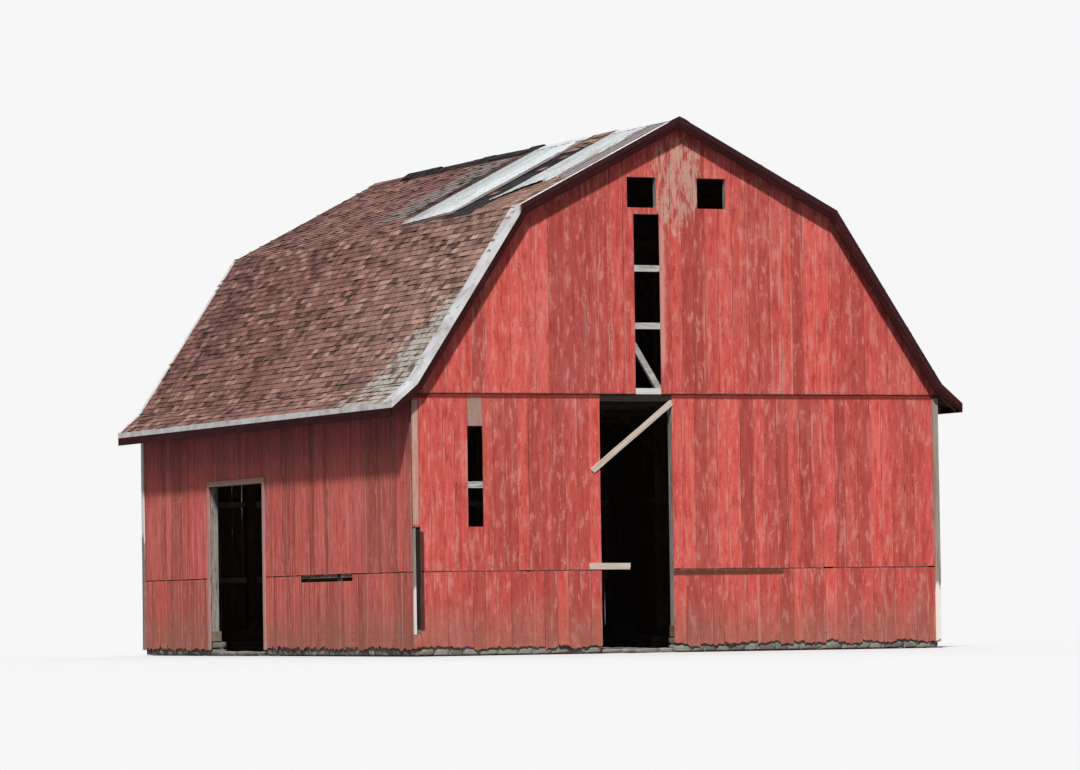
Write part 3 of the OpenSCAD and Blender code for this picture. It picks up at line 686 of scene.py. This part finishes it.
def sawn_wood(at, fine, broad, dark, light, share=0.6, detail=4):
    """Fibres and streaks that run up a board's grain, and a colour that goes with both, the
    fibres having that share in it."""
    grain = at.mark("grain", "Vector")
    fibres = grain.scaled(*fine, 1).noise(4, 0.65)
    streaks = grain.scaled(*broad, 1).noise(detail, 0.6)
    both = fibres * share + streaks * (1 - share)
    return fibres, streaks, both.ramp(0.3, 0.7).blend(dark, light)


placed = []
for face, end in ((FRONT, 1), (BACK, -1), (BACK, 1), (LEFT, -1), (RIGHT, 1), (RIGHT, -1)):
    edge = SIDE_OUT + CORNER_T if face in (FRONT, BACK) else END_OUT
    left, right = sorted((end * edge, end * (edge - CORNER_W)))
    rag = (0.01, 0.006)
    row = lone_board(left, right, CORNER_FOOT, CORNER_TOP, BOARD_T, CORNER_T, rag)
    placed.append((face, row))
# At the front left corner a sliver is left, beside the gap in the wall
left, right = -SIDE_OUT, 0.055 - SIDE_OUT
sliver = (left, right, 0.41, 2.36, 0.41, 2.39, 0, 0, BOARD_T)
placed.append((FRONT, (*sliver, left, right, *rng.random(5), 0, 0, 0)))

worn_trim, at = new_finish("worn_grey_trim")
x, y, z = at.place().axes()
grey = rgb(0.17, 0.13, 0.10), rgb(0.40, 0.34, 0.28)
fibres, streaks, wood = sawn_wood(at, (110, 2.6), (16, 0.8), *grey)
left_rear = x.fall(-5.4, -5.3) * y.ramp(7.4, 7.5)
under_eave = left_rear * (z + streaks * 0.8).ramp(2.6, 3.3)
foot_paint = z.fall(1.0, 1.5) * (1 - left_rear * 0.6)
kept = fibres * 0.35 + streaks * 0.65 + foot_paint * 0.35 + under_eave * 0.5
body = kept.ramp(0.66, 0.74).blend(wood, rgb(0.80, 0.75, 0.68))
coat(worn_trim, (at.mark("tone") * 0.3 + 0.85).shade(body), 0.85, fibres, 0.003)
dress(board_group("corner_trim", placed), worn_trim, "grey_boards", "corner_boards")

# Casing of the side doorway: three pine boards nailed round the opening, their paint faded
# to pink and worn through along the grain.
CASING_W = 0.11
left, right = SIDE_DOOR
placed = []
for left, right, foot, head in (
    (left - CASING_W, left, CORNER_FOOT, SIDE_DOOR_HEAD),
    (right, right + CASING_W, CORNER_FOOT, SIDE_DOOR_HEAD),
    (left - CASING_W, right + CASING_W, SIDE_DOOR_HEAD, SIDE_DOOR_HEAD + CASING_W),
):
    placed.append((LEFT, lone_board(left, right, foot, head, BOARD_T, BOARD_T, (0.004, 0.004))))
pink_paint, at = new_finish("faded_casing_paint")
pink = rgb(0.45, 0.20, 0.17), rgb(0.56, 0.34, 0.29)
fibres, streaks, paint = sawn_wood(at, (110, 2.6), (16, 0.8), *pink, share=1)
body = streaks.ramp(0.48, 0.58).blend(paint, rgb(0.33, 0.27, 0.23))
coat(pink_paint, body, 0.85, fibres, 0.003)
dress(board_group("side_door_trim", placed), pink_paint, "casing_paint", "side_door_casing")

# Roof boards: wide rough boards nailed across the rafters along the whole roof, in lengths
# that break on a rafter. They show from below, at the rakes, and where shingles are gone.
ROOF_END, SHEATHING_W, SHINGLE_T, HALF_RAFTER_PITCH = 7.82, 0.22, 0.015, 0.6308
slopes = {}
for side, sign in (("left", -1), ("right", 1)):
    for part, high, low in zip(("upper", "lower", "kick"), ROOF_LINE, ROOF_LINE[1:]):
        high, low = np.array(high), np.array(low)
        length = float(np.linalg.norm(high - low))
        rise = (high - low) / length
        up, out = (sign * rise[0], 0, rise[1]), (sign * rise[1], 0, -rise[0])
        slopes[side, part] = ((sign * low[0], 0, low[1]), (0, sign, 0), up, out), length


def straight_board(face, row, seed, tone):
    """A board's points in the barn, its grain and its tone."""
    points = stretch(board_shape, [row])
    grain = points * (1, 1, 0) + (0, 0, seed * 97)
    return on_face(face, points), grain, np.full(points.shape[:2], tone)


def joined(name, boards):
    points, grain, tone = (np.concatenate(values) for values in zip(*boards))
    return build(name, board_shape, points, grain=grain, tone=tone)


roof_wood, at = new_finish("roof_board_wood")
umber = rgb(0.045, 0.033, 0.028), rgb(0.16, 0.12, 0.10)
fibres, streaks, body = sawn_wood(at, (80, 2), (12, 0.5), *umber, detail=3)
coat(roof_wood, (at.mark("tone") * 0.7 + 0.6).shade(body), 0.9, fibres, 0.003)
for side in ("left", "right"):
    for name, parts in (("upper", ("upper",)), ("lower", ("lower", "kick"))):
        boards = []
        for part in parts:
            (origin, across, up, out), length = slopes[side, part]
            # The board lies along the roof, so its own across is up the slope
            face = (origin, up, tuple(-np.array(across)), out)
            number = max(1, round(length / SHEATHING_W))
            for n in range(number):
                a, b = length * n / number + 0.004, length * (n + 1) / number - 0.004
                rafters = rng.choice(np.arange(-9, 10, 2), 3, replace=False)
                joints = np.sort(np.round(rafters * HALF_RAFTER_PITCH, 4))
                for low, high in zip([-ROOF_END, *joints], [*joints, ROOF_END]):
                    seeds = rng.random(5)
                    row = plain(a, b, low, high, -DECK_DEPTH, BOARD_T)
                    boards.append(straight_board(face, row, seeds[3], seeds[0]))
        piece = joined(f"{side}_{name}_sheathing", boards)
        dress(piece, roof_wood, "roof_boards", f"{side}_{name}_roof_boards")

# Felt: tarred paper tacked over the roof boards under the shingles. It lies bare where most
# shingles have blown away, between the two runs of metal sheets.
TAB_W, COURSE, LAP, TAB_T = 0.305, 0.127, 0.045, 0.006
# How far behind the front edge it starts and ends
BARE_SLOPE, STRIPS, STRIP_LAP = (1.7, 4.05), 6, 0.05
cube_in_hand(TAB_W, COURSE + LAP, TAB_T)
cut(0, 1)
cut(1, 1)
tab_shape = Pattern()
tar_felt, at = new_finish("black_tar_felt")
place = at.place()
grit, cloud = place.clouds(120, 3, 0.8), place.clouds(4, 4, 0.6)
body = cloud.ramp(0.35, 0.7).blend(rgb(0.009, 0.009, 0.010), rgb(0.038, 0.030, 0.030))
body = (at.mark("tone") * 0.6 + 0.7).shade(body)
coat(tar_felt, body, 0.95, grit * 0.4 + cloud * 0.6, 0.004, specular=0.03)
face, length = slopes["left", "upper"]
rows = []
for n in range(STRIPS):
    foot, head = length * n / STRIPS, min(length * (n + 1) / STRIPS + STRIP_LAP, length)
    rear = ROOF_END - BARE_SLOPE[1] - rng.uniform(0, 0.15)
    fore = ROOF_END - BARE_SLOPE[0] + rng.uniform(0, 0.1)
    rows.append((rear, fore, foot, head, foot, head, -0.013, -SHINGLE_T, 0.002))
tones = one_tone_each(len(rows), tab_shape)
piece = build("roof_felt", tab_shape, lay(face, tab_shape, *rows), tone=tones)
dress(piece, tar_felt, "dark_trim", "left_upper_shingles")

# Shingles: three-tab asphalt strips on every slope, a hand's breadth to the weather, faded
# from red-brown, curled and mottled with age. One tab is modelled, with a cut at its middle
# that lets its corners curl, and every course is laid from its copies.
SHEET_W, SHEET_GAP = 0.64, 0.003
# Where each run of metal sheets starts behind the front edge, and its number of sheets
SHEET_RUNS = ((0.16, 4), (3.9, 4))
RUN_ENDS = [(start, start + count * (SHEET_W + SHEET_GAP)) for start, count in SHEET_RUNS]

shingle, at = new_finish("faded_asphalt_shingle")
place, tone = at.place(), at.mark("tone")
x, y, z = place.axes()
granules, blotch = place.clouds(160, 3, 0.8), place.scaled(7, 5, 7).noise(5, 0.7)
mottle = place.scaled(2.1, 2.6, 2.6).noise(5, 0.7)
broad = place.scaled(0.35, 0.35, 0.5).noise(3, 0.5)
streaky = place.scaled(0.5, 4.5, 0.5).noise(4, 0.65)
from_front = y + ROOF_END
body = (mottle * 0.6 + broad * 0.5).ramp(0.38, 0.68)
body = layered(
    body.blend(rgb(0.165, 0.072, 0.063), rgb(0.27, 0.135, 0.112)),
    ((y + broad * 6).fall(-5.5, 5.5) * 0.7, rgb(0.29, 0.185, 0.14)),
    (tone.ramp(0.88, 0.96) * 0.4, rgb(0.40, 0.27, 0.20)),
    (tone.fall(0.05, 0.14) * 0.65, rgb(0.085, 0.048, 0.044)),
)
body = layered(
    (tone * 0.7 + 0.64).shade(body),
    (streaky.ramp(0.48, 0.7) * 0.5, rgb(0.115, 0.062, 0.058)),
    (streaky.fall(0.3, 0.46) * 0.35, rgb(0.36, 0.24, 0.19)),
)
body = (1.05 - from_front * 0.015).shade((blotch * 1.7 + 0.15).shade(body))
# Where the roof has lost a run of sheets it is bleached grey. Beside that strip and along the crest
# it is darker, and under the sheets' feet a painted shadow line lies on the shingles
on_left = x.fall(-0.4, -0.2)
upper_left = z.ramp(8.62, 8.8) * on_left
bleached = (from_front.away(8.15) + tone * 0.25 + mottle * 0.4).fall(0.95, 1.2)
beside = (from_front.away(6.9) + tone * 0.25).fall(0.45, 0.62)
# Painted shadow: a dark line on the shingles just under the sheets' feet
painted_shadow_under_feet = z.away(8.5).fall(0.04, 0.07) * from_front.away(5.2).fall(1.25, 1.35) * on_left
crest = z.ramp(9.97, 10.03) * from_front.away(10).fall(3.4, 3.6)
dark_and_shaded = (upper_left * beside).larger(painted_shadow_under_feet.larger(crest))
# Pale growth spreads from the front edge of the lower left slope, and in a few clumps
lower = (7.3 - z).larger(0)
fringe = (from_front - lower * 0.9).fall(-0.2, 1.8) * x.fall(-3.4, -3.3) * z.fall(6.7, 7.7)
clumps = place.scaled(3.4, 2.6, 3.4).noise(7, 0.78)
behind = (place.far_from((-1.6, 0.7, 9.4)) * 0.5 + mottle * 1.6).fall(1.5, 2.4)
growth = (clumps + tone * 0.07 + fringe * 0.36 + behind * 0.16).ramp(0.8, 0.92)
grey = blotch.ramp(0.35, 0.65).blend(rgb(0.15, 0.14, 0.132), rgb(0.27, 0.252, 0.24))
pale = layered(
    granules.ramp(0.4, 0.65).blend(rgb(0.37, 0.365, 0.32), rgb(0.55, 0.56, 0.53)),
    (blotch.ramp(0.45, 0.62) * 0.7, rgb(0.30, 0.27, 0.22)),
)
body = layered(
    body,
    (upper_left * bleached * 0.75, grey),
    (dark_and_shaded * 0.75, rgb(0.022, 0.018, 0.018)),
    (growth * 0.85, pale),
)
body = (granules.ramp(0.3, 0.75) * 0.5 + 0.74).shade(body)
# Painted shade: each tab darkens towards its butt, a shade line along every course
body = (at.mark("rise").ramp(0.0, 0.1) * 0.35 + 0.65).shade(body)
coat(shingle, body, 0.95, granules * 0.4 + mottle * 0.6, 0.003, specular=0.06)


def lay_shingles(length):
    """Rows for the tabs of one slope, course by course."""
    rows = []
    for number in range(math.ceil(length / COURSE)):
        foot = number * COURSE + rng.uniform(-0.004, 0.004)
        start = -ROOF_END - TAB_W / 2 * (number % 2) + rng.uniform(-0.01, 0.01)
        head = min(foot + COURSE + LAP, length + 0.01)
        for tab in range(math.ceil((ROOF_END - start) / TAB_W)):
            left = max(start + tab * TAB_W + 0.004, -ROOF_END)
            right = min(start + (tab + 1) * TAB_W - 0.004, ROOF_END)
            if right - left > 0.02:
                low = foot + rng.uniform(-0.004, 0.004)
                rows.append((left, right, low, head, low, head, -0.007, -SHINGLE_T, TAB_T))
    return rows


u, v, w = tab_shape.points.T
for side in ("left", "right"):
    for name, parts in (("upper", ("upper",)), ("lower", ("kick", "lower"))):
        placed, tones, rises = [], [], []
        for part in parts:
            face, length = slopes[side, part]
            rows = np.array(lay_shingles(length))
            behind_edge = face[1][1] * (rows[:, 0] + rows[:, 1]) / 2 + ROOF_END
            keep = rng.random(len(rows)) > (0.015 if side == "left" else 0.004)
            flat = np.zeros(len(rows), bool)
            if (side, part) == ("left", "upper"):
                # Between the sheets only tabs near the ridge are left. Under them all lie flat
                (_, first_end), (second_start, second_end) = RUN_ENDS
                torn = (behind_edge > first_end - 0.15) & (behind_edge < second_start + 0.15)
                left_here = np.where(rows[:, 2] / length > 0.78, 0.75, 0.04)
                keep &= ~torn | (rng.random(len(rows)) < left_here)
                under_second = (behind_edge > second_start - 0.2) & (behind_edge < second_end + 0.2)
                flat = (behind_edge < first_end + 0.2) | under_second
            rows, flat = rows[keep], flat[keep]
            points = stretch(tab_shape, rows)
            lift = rng.random((len(rows), 2)) ** 6 * 0.022 * ~flat[:, None]
            lift = lift[:, :1] * (1 - u) + lift[:, 1:] * u + 0.002 * ~flat[:, None]
            points[..., 2] += lift * (1 - v) ** 2
            placed.append(on_face(face, points))
            tones.append(one_tone_each(len(rows), tab_shape))
            rises.append(np.tile(v, len(rows)))
        points, tone, rise = (np.concatenate(values) for values in (placed, tones, rises))
        piece = build(f"{side}_{name}_tabs", tab_shape, points, tone=tone, rise=rise)
        dress(piece, shingle, "shingles", f"{side}_{name}_shingles")

# Metal sheets: two runs of bare sheets nailed over the shingles of the upper left slope,
# each with pressed ribs, a little buckled between its nails. Every sheet is torn off at its
# foot, and those nearest the front edge are rusted through their zinc.
RIBS, RIB_H, SHEET_T = (1, 4, 16, 28, 31), 0.02, 0.0015
# The rear and front foot of each sheet, and the rust at its rear and front edge
TORN_FEET = (
    (1.3, 1.2, 0.9, 1),
    (1.2, 1.35, 0, 0.75),
    (1.0, 1.2, 0, 0),
    (0.6, 1.0, 0, 0),
    (0.4, 0.5, 0.1, 1),
    (0.32, 0.4, 0, 0),
    (0.26, 0.32, 0, 0),
    (0.2, 0.26, 0, 0),
)
SHEET_TONES = (0.95, 0.75, 0.6, 0.35, 1.0, 0.85, 0.45, 0.15)
bpy.ops.mesh.primitive_grid_add(x_subdivisions=32, y_subdivisions=12, size=1)
bpy.ops.object.mode_set(mode="EDIT")
bpy.ops.mesh.select_mode(type="VERT")
bpy.ops.mesh.select_all(action="DESELECT")
mesh = bmesh.from_edit_mesh(bpy.context.object.data)
for vertex in mesh.verts:
    vertex.select_set(round((vertex.co.x + 0.5) * 32) in RIBS)
bmesh.update_edit_mesh(bpy.context.object.data)
bpy.ops.transform.translate(value=(0, 0, RIB_H))
bpy.ops.object.mode_set(mode="OBJECT")
bpy.ops.object.modifier_add(type="SOLIDIFY")
bpy.context.object.modifiers[0].thickness = SHEET_T
bpy.ops.object.modifier_apply(modifier=bpy.context.object.modifiers[0].name)
sheet_shape = Pattern()

bare_metal, at = new_finish("bare_sheet_metal")
place = at.place()
spangle, stain = place.clouds(22, 2, 0.5), place.clouds(1.3, 5, 0.65)
runs = place.scaled(3, 14, 0.8).noise(4, 0.6)
body = layered(
    spangle.ramp(0.4, 0.6).blend(rgb(0.36, 0.385, 0.40), rgb(0.45, 0.475, 0.48)),
    ((stain * 0.5 + runs * 0.5).ramp(0.5, 0.62) * 0.7, rgb(0.27, 0.21, 0.17)),
)
body = (at.mark("tone") * 0.55 + 0.68).shade(body)
eaten = (at.mark("rust") + stain + runs * 1.2 - 1.1).ramp(0.3, 0.5)
rust = (spangle + stain - 0.4).ramp(0.4, 0.8)
rust = rust.blend(rgb(0.085, 0.062, 0.066), rgb(0.15, 0.105, 0.10))
body = (eaten * 0.95).blend(body, rust)
relief = spangle * 0.2 + stain * 0.8
coat(bare_metal, body, 0.55, relief, 0.002, metallic=0.2, specular=0.25)

face, length = slopes["left", "upper"]
rows, head = [], length - 0.2
for start, count in SHEET_RUNS:
    for number in range(count):
        # Across runs towards the front on the left slopes
        fore = ROOF_END - start - number * (SHEET_W + SHEET_GAP)
        rear_foot, front_foot = np.array(TORN_FEET[len(rows)][:2]) + rng.uniform(-0.03, 0.01)
        rows.append((fore - SHEET_W, fore, rear_foot, head, front_foot, head, 0.001, 0.001, 0.014))
points = stretch(sheet_shape, rows)
u, v, w = sheet_shape.points.T
s0, s1, s2 = rng.random((len(rows), 3, 1)).swapaxes(0, 1)
buckle = np.sin(v * 11 + s0 * 6) * np.sin(u * 3.1) + np.sin(v * 23 + s1 * 6) * 0.4
points[..., 2] += 0.003 * (1 + buckle) + (s2 > 0.7) * 0.03 * np.clip(1 - v * 6, 0, 1) ** 2
rear_rust, front_rust = np.array(TORN_FEET).T[2:, :, None]
piece = build(
    "roof_sheets",
    sheet_shape,
    on_face(face, points),
    tone=np.repeat(SHEET_TONES, len(u)),
    rust=rear_rust + (front_rust - rear_rust) * u,
)
dress(piece, bare_metal, "sheet_metal", "metal_sheets")

# Rake flashing: a strip of the same metal nailed over the shingles along the front edge of
# the lower left slope and its kick, chalked white.
placed = []
for part, number in (("lower", 4), ("kick", 1)):
    face, length = slopes["left", part]
    for n in range(number):
        foot, head = length * n / number, length * (n + 1) / number + (n < number - 1) * 0.04
        rear = ROOF_END - rng.uniform(0.40, 0.46)
        row = (rear, ROOF_END, foot, head, foot, head, 0.001, 0.004, 0.003)
        placed.append(lay(face, board_shape, row))
flashing, at = new_finish("chalky_flashing")
place = at.place()
cloud, specks = place.clouds(2.4, 5, 0.65), place.clouds(26, 3, 0.7)
body = layered(
    cloud.ramp(0.35, 0.65).blend(rgb(0.58, 0.58, 0.60), rgb(0.44, 0.42, 0.42)),
    ((cloud * 0.5 + specks * 0.5).ramp(0.55, 0.6) * 0.6, rgb(0.26, 0.19, 0.16)),
)
coat(flashing, body, 0.7, cloud, 0.004)
piece = build("rake_flashing", board_shape, np.concatenate(placed))
dress(piece, flashing, "edging_metal", "left_lower_shingles")

# Ridge: folded cap shingles lapped along the ridge, a metal cap over the front sheets, and
# bare black felt in the middle where most of the caps are gone.
RIDGE_TOP, RIDGE_FALL, CAP_W, CAP_L, CAP_STEP = 10.15, 1.73 / 3.3, 0.2, 0.3, 0.14
# How far behind the front edge the felt starts and ends
BARE_RIDGE = (6.45, 13.6)
cube_in_hand(2 * CAP_W, CAP_L, 0.006)
cut(0, 3)
cut(1, 1)
cap_shape = Pattern()


def over_ridge(rows):
    """Caps folded down over the ridge, measured from its top."""
    points = stretch(cap_shape, rows)
    points[..., 2] -= RIDGE_FALL * np.sqrt(points[..., 0] ** 2 + 0.0004)
    return points


def ridge_piece(name, finish, slot, points, **marks):
    tone = one_tone_each(len(points), cap_shape)
    ridge = ((0, 0, RIDGE_TOP), (1, 0, 0), (0, 1, 0), (0, 0, 1))
    piece = build(name, cap_shape, on_face(ridge, points), tone=tone, **marks)
    dress(piece, finish, slot, "ridge_cap")


rows = []
for y in np.arange(-ROOF_END + BARE_RIDGE[0], -ROOF_END + BARE_RIDGE[1], 0.6):
    left, right = -CAP_W - rng.uniform(-0.05, 0.03), CAP_W + rng.uniform(-0.05, 0.03)
    end = y + 0.63
    rows.append((left, right, y, end, y + rng.uniform(-0.03, 0.03), end, 0.001, 0.003, 0.005))
points = over_ridge(rows)
u, v, w = cap_shape.points.T
hump, curl = 0.03 + 0.03 * rng.random((len(rows), 1)), 0.02 * rng.random((len(rows), 1))
points[..., 2] += hump * (1 - (2 * u - 1) ** 2) + curl * (np.abs(u - 0.5) > 0.4)
ridge_piece("ridge_felt", tar_felt, "dark_trim", points)

rows = []
for y in np.arange(-ROOF_END, ROOF_END - 0.1, CAP_STEP):
    behind_edge, end = y + ROOF_END, min(y + CAP_L, ROOF_END)
    metal = any(start - 0.3 < behind_edge < end - 0.1 for start, end in RUN_ENDS)
    torn = BARE_RIDGE[0] < behind_edge < BARE_RIDGE[1] and rng.random() < 0.72
    if not metal and not torn:
        skewed = y + rng.uniform(-0.008, 0.008)
        rows.append((-CAP_W, CAP_W, y, end, skewed, end, 0.012, 0.006, 0.005))
ridge_piece("ridge_shingles", shingle, "shingles", over_ridge(rows), rise=np.tile(v, len(rows)))

rows = []
for start, end in ((0, RUN_ENDS[0][1]), RUN_ENDS[1]):
    rows.append(plain(-CAP_W, CAP_W, -ROOF_END + start, -ROOF_END + end, 0.016, 0.002))
ridge_piece("ridge_metal_cap", bare_metal, "ridge_metal", over_ridge(rows))

# Rake boards: dark painted boards under the roof's edges at both gables, mitred at the
# ridge and the knees, and drawn to a narrow tip at the right eave.
TRIM_T, TRIM_TOP, RAKE_W = 0.025, DECK_DEPTH, 0.165
# How deep the boards are at the eaves, left and right
EAVE_W = {-1: RAKE_W, 1: 0.09}
dark_trim, at = new_finish("dark_maroon_trim")
maroon = rgb(0.018, 0.005, 0.006), rgb(0.054, 0.012, 0.013)
fibres, streaks, paint = sawn_wood(at, (90, 2.2), (14, 0.7), *maroon, share=0.5)
flakes = (fibres * 0.55 + streaks * 0.45).ramp(0.62, 0.7)
body = layered(
    paint,
    (at.place().clouds(1.6, 4, 0.6).ramp(0.6, 0.8) * 0.4, rgb(0.12, 0.05, 0.045)),
    (flakes * 0.6, rgb(0.15, 0.09, 0.075)),
)
body = (at.mark("tone") * 0.4 + 0.8).shade(body)
coat(dark_trim, body, 0.8, fibres - flakes * 0.5, 0.002, specular=0.05)


def roof_corner(number, depth):
    """A corner of the roof line, moved that deep into the roof with its mitre kept."""
    inward = []
    for (x0, z0), (x1, z1) in zip(ROOF_LINE, ROOF_LINE[1:]):
        inward.append(np.array([z1 - z0, x0 - x1]) / math.hypot(x1 - x0, z1 - z0))
    if number in (0, len(inward)):
        move = np.array([0, 1 / inward[min(number, 2)][1]])
    else:
        a, b = inward[number - 1], inward[number]
        move = (a + b) / (1 + a @ b)
    return np.array(ROOF_LINE[number]) + depth * move


boards = []
u, v, w = board_shape.points.T[..., None]
for face, turn in ((FRONT, 1), (BACK, -1)):
    edge_face = ((0, -turn * (ROOF_END - TRIM_T), 0), *face[1:])
    for top in range(3):
        for side in (1, -1):
            inner = TRIM_TOP + RAKE_W
            tip = TRIM_TOP + EAVE_W[side] if top == 2 else inner
            corners = [roof_corner(top + 1, depth) for depth in (tip, TRIM_TOP)]
            corners += [roof_corner(top, depth) for depth in (TRIM_TOP, inner)]
            if side * turn < 0:
                corners = [corners[n] * (-1, 1) for n in (1, 0, 3, 2)]
            low = corners[0] * (1 - u) + corners[1] * u
            high = corners[3] * (1 - u) + corners[2] * u
            bend = 0.0015 * np.sin(v * 9 + top * 2)
            points = np.concatenate([low * (1 - v) + high * v, w * TRIM_T + bend], axis=1)[None]
            length = np.linalg.norm(corners[2] - corners[1])
            grain = [u * RAKE_W, v * length, 0 * u + rng.random() * 97]
            tone = np.full(points.shape[:2], rng.random())
            boards.append((on_face(edge_face, points), np.concatenate(grain, axis=1)[None], tone))
dress(joined("rake_trim_boards", boards), dark_trim, "dark_trim", "rake_boards")

# Eave boards: the same dark boards in four lengths along each eave, nailed to the ends of
# the lookouts. Those of the left eave are deeper.
(x0, z0), (x1, z1) = ROOF_LINE[2:]
PLUMB = math.hypot(1, (z1 - z0) / (x1 - x0))
boards = []
for side in (-1, 1):
    face = ((side * (x1 - TRIM_T), 0, z1), (0, 0, 1), (0, -side, 0), (side, 0, 0))
    breaks = [-ROOF_END, *(rng.uniform(-0.3, 0.3, 3) + (-3.8, 0, 3.8)), ROOF_END]
    top, foot = -TRIM_TOP * PLUMB, -(TRIM_TOP + EAVE_W[side]) * PLUMB
    for start, end in zip(breaks, breaks[1:]):
        row = plain(foot, top, start + 0.002, end - 0.002, 0, TRIM_T)
        boards.append(straight_board(face, row, rng.random(), rng.random()))
dress(joined("eave_trim_boards", boards), dark_trim, "dark_trim", "eave_boards")

# Metal edging: folded strips nailed along the rakes and the eaves. Their top leaves are
# chalky white, and the leaves that hang down the rakes have the dark paint of the boards.
for node, hanging in (("eave_edging", 0), ("rake_edging", 1)):
    edging, at = new_finish(f"{node}_metal")
    place = at.place()
    x = place.axes()[0]
    facing = at.node("ShaderNodeNewGeometry", out="True Normal").axes()[1].away()
    cloud, specks = place.clouds(2.4, 5, 0.65), place.clouds(30, 3, 0.7)
    painted = specks.ramp(0.35, 0.7).blend(rgb(0.026, 0.007, 0.008), rgb(0.060, 0.015, 0.016))
    dark_rakes = facing.ramp(0.6, 0.8) * x.ramp(-3.36, -3.28) * hanging
    body = layered(
        cloud.ramp(0.35, 0.65).blend(rgb(0.70, 0.69, 0.68), rgb(0.52, 0.50, 0.48)),
        ((cloud * 0.6 + specks * 0.4).ramp(0.56, 0.62) * 0.7, rgb(0.30, 0.19, 0.14)),
        (dark_rakes, painted),
    )
    coat(edging, body, 0.6, cloud, 0.004)
    finish_nodes(edging, node)

# Loose boards: one nailed slantwise across the front doorway and a short one cut off at
# its left edge, both of pale bare wood with split ends.
loose_wood, at = new_finish("pale_loose_wood")
pale = rgb(0.40, 0.32, 0.26), rgb(0.76, 0.66, 0.56)
fibres, streaks, body = sawn_wood(at, (110, 2.6), (20, 0.8), *pale)
coat(loose_wood, body, 0.85, fibres, 0.003)
placed = []
for low, high, width in (
    ((-1.84, 3.43), (-0.15, 4.745), 0.11),
    ((-1.93, 1.645), (-1.05, 1.637), 0.12),
):
    low, high, half = np.array(low), np.array(high), width / 2
    length = float(np.linalg.norm(high - low))
    run = (high - low) / length
    face = ((low[0], -END, low[1]), (run[1], 0, -run[0]), (run[0], 0, run[1]), (0, -1, 0))
    row = lone_board(-half, half, 0, length, BOARD_T, BOARD_T - 0.003, (0.02, 0.02))
    placed.append((face, row))
dress(board_group("loose_door_boards", placed), loose_wood, "grey_boards", "loose_boards")

# Floor and light: a pale matt floor that keeps the barn's shadow, a plain bright sky, one
# soft sun from the front left and a very soft weak one from behind.
bpy.ops.mesh.primitive_circle_add(vertices=96, radius=420, fill_type="NGON")
floor = bpy.context.object
floor.name = "floor"
pale, at = new_finish("pale_floor")
shader = pale.node_tree.nodes["Principled BSDF"]
seen = at.node("ShaderNodeLightPath", out="Is Camera Ray")
colour = seen.blend(rgb(0.22, 0.22, 0.22), rgb(0.667, 0.667, 0.667))
at.feed(shader.inputs["Base Color"], colour)
at.feed(shader.inputs["Roughness"], 1)
at.feed(shader.inputs["Specular IOR Level"], 0)
floor.data.materials.append(pale)

world = bpy.data.worlds.new("studio")
bpy.context.scene.world = world
world.use_nodes = True
sky = Wire(world.node_tree)
seen, mirrored, through = (
    sky.node("ShaderNodeLightPath", out=f"Is {ray} Ray")
    for ray in ("Camera", "Glossy", "Transmission")
)
colour = seen.larger(mirrored.larger(through)).blend(rgb(0.23, 0.23, 0.24), rgb(0.93, 0.93, 0.93))
background = world.node_tree.nodes["Background"]
sky.feed(background.inputs["Color"], colour)
sky.feed(background.inputs["Strength"], 1)

for energy, soft, left, high in ((4.1, 4, 30, 50), (0.9, 50, 205, 35)):
    bpy.ops.object.light_add(type="SUN")
    sun = bpy.context.object
    sun.data.energy = energy
    sun.data.angle = math.radians(soft)
    sun.rotation_euler = (math.radians(90 - high), 0, -math.radians(left))

# Camera: low and far off to the front left, with the long lens, the heading and the slight
# roll that were fitted to the photograph.
HEADING, ROLL, TURN, TILT = math.radians(19.378), math.radians(-0.8), 0.0701, 0.0451
bpy.ops.object.camera_add(location=(-41.937, -97.785, 0.723))
camera = bpy.context.object
ahead = Vector((math.sin(HEADING), math.cos(HEADING), 0))
level_side, zenith = Vector((math.cos(HEADING), -math.sin(HEADING), 0)), Vector((0, 0, 1))
side = level_side * math.cos(ROLL) + zenith * math.sin(ROLL)
up = zenith * math.cos(ROLL) - level_side * math.sin(ROLL)
back = -(ahead + side * TURN + up * TILT).normalized()
side = up.cross(back).normalized()
camera.rotation_euler = Matrix((side, back.cross(side), back)).transposed().to_euler()
camera.data.sensor_width = 36
camera.data.lens = 820 * 6.4 * 36 / 1080
camera.data.clip_end = 1000
bpy.context.scene.camera = camera
bpy.context.scene.view_settings.view_transform = "Standard"
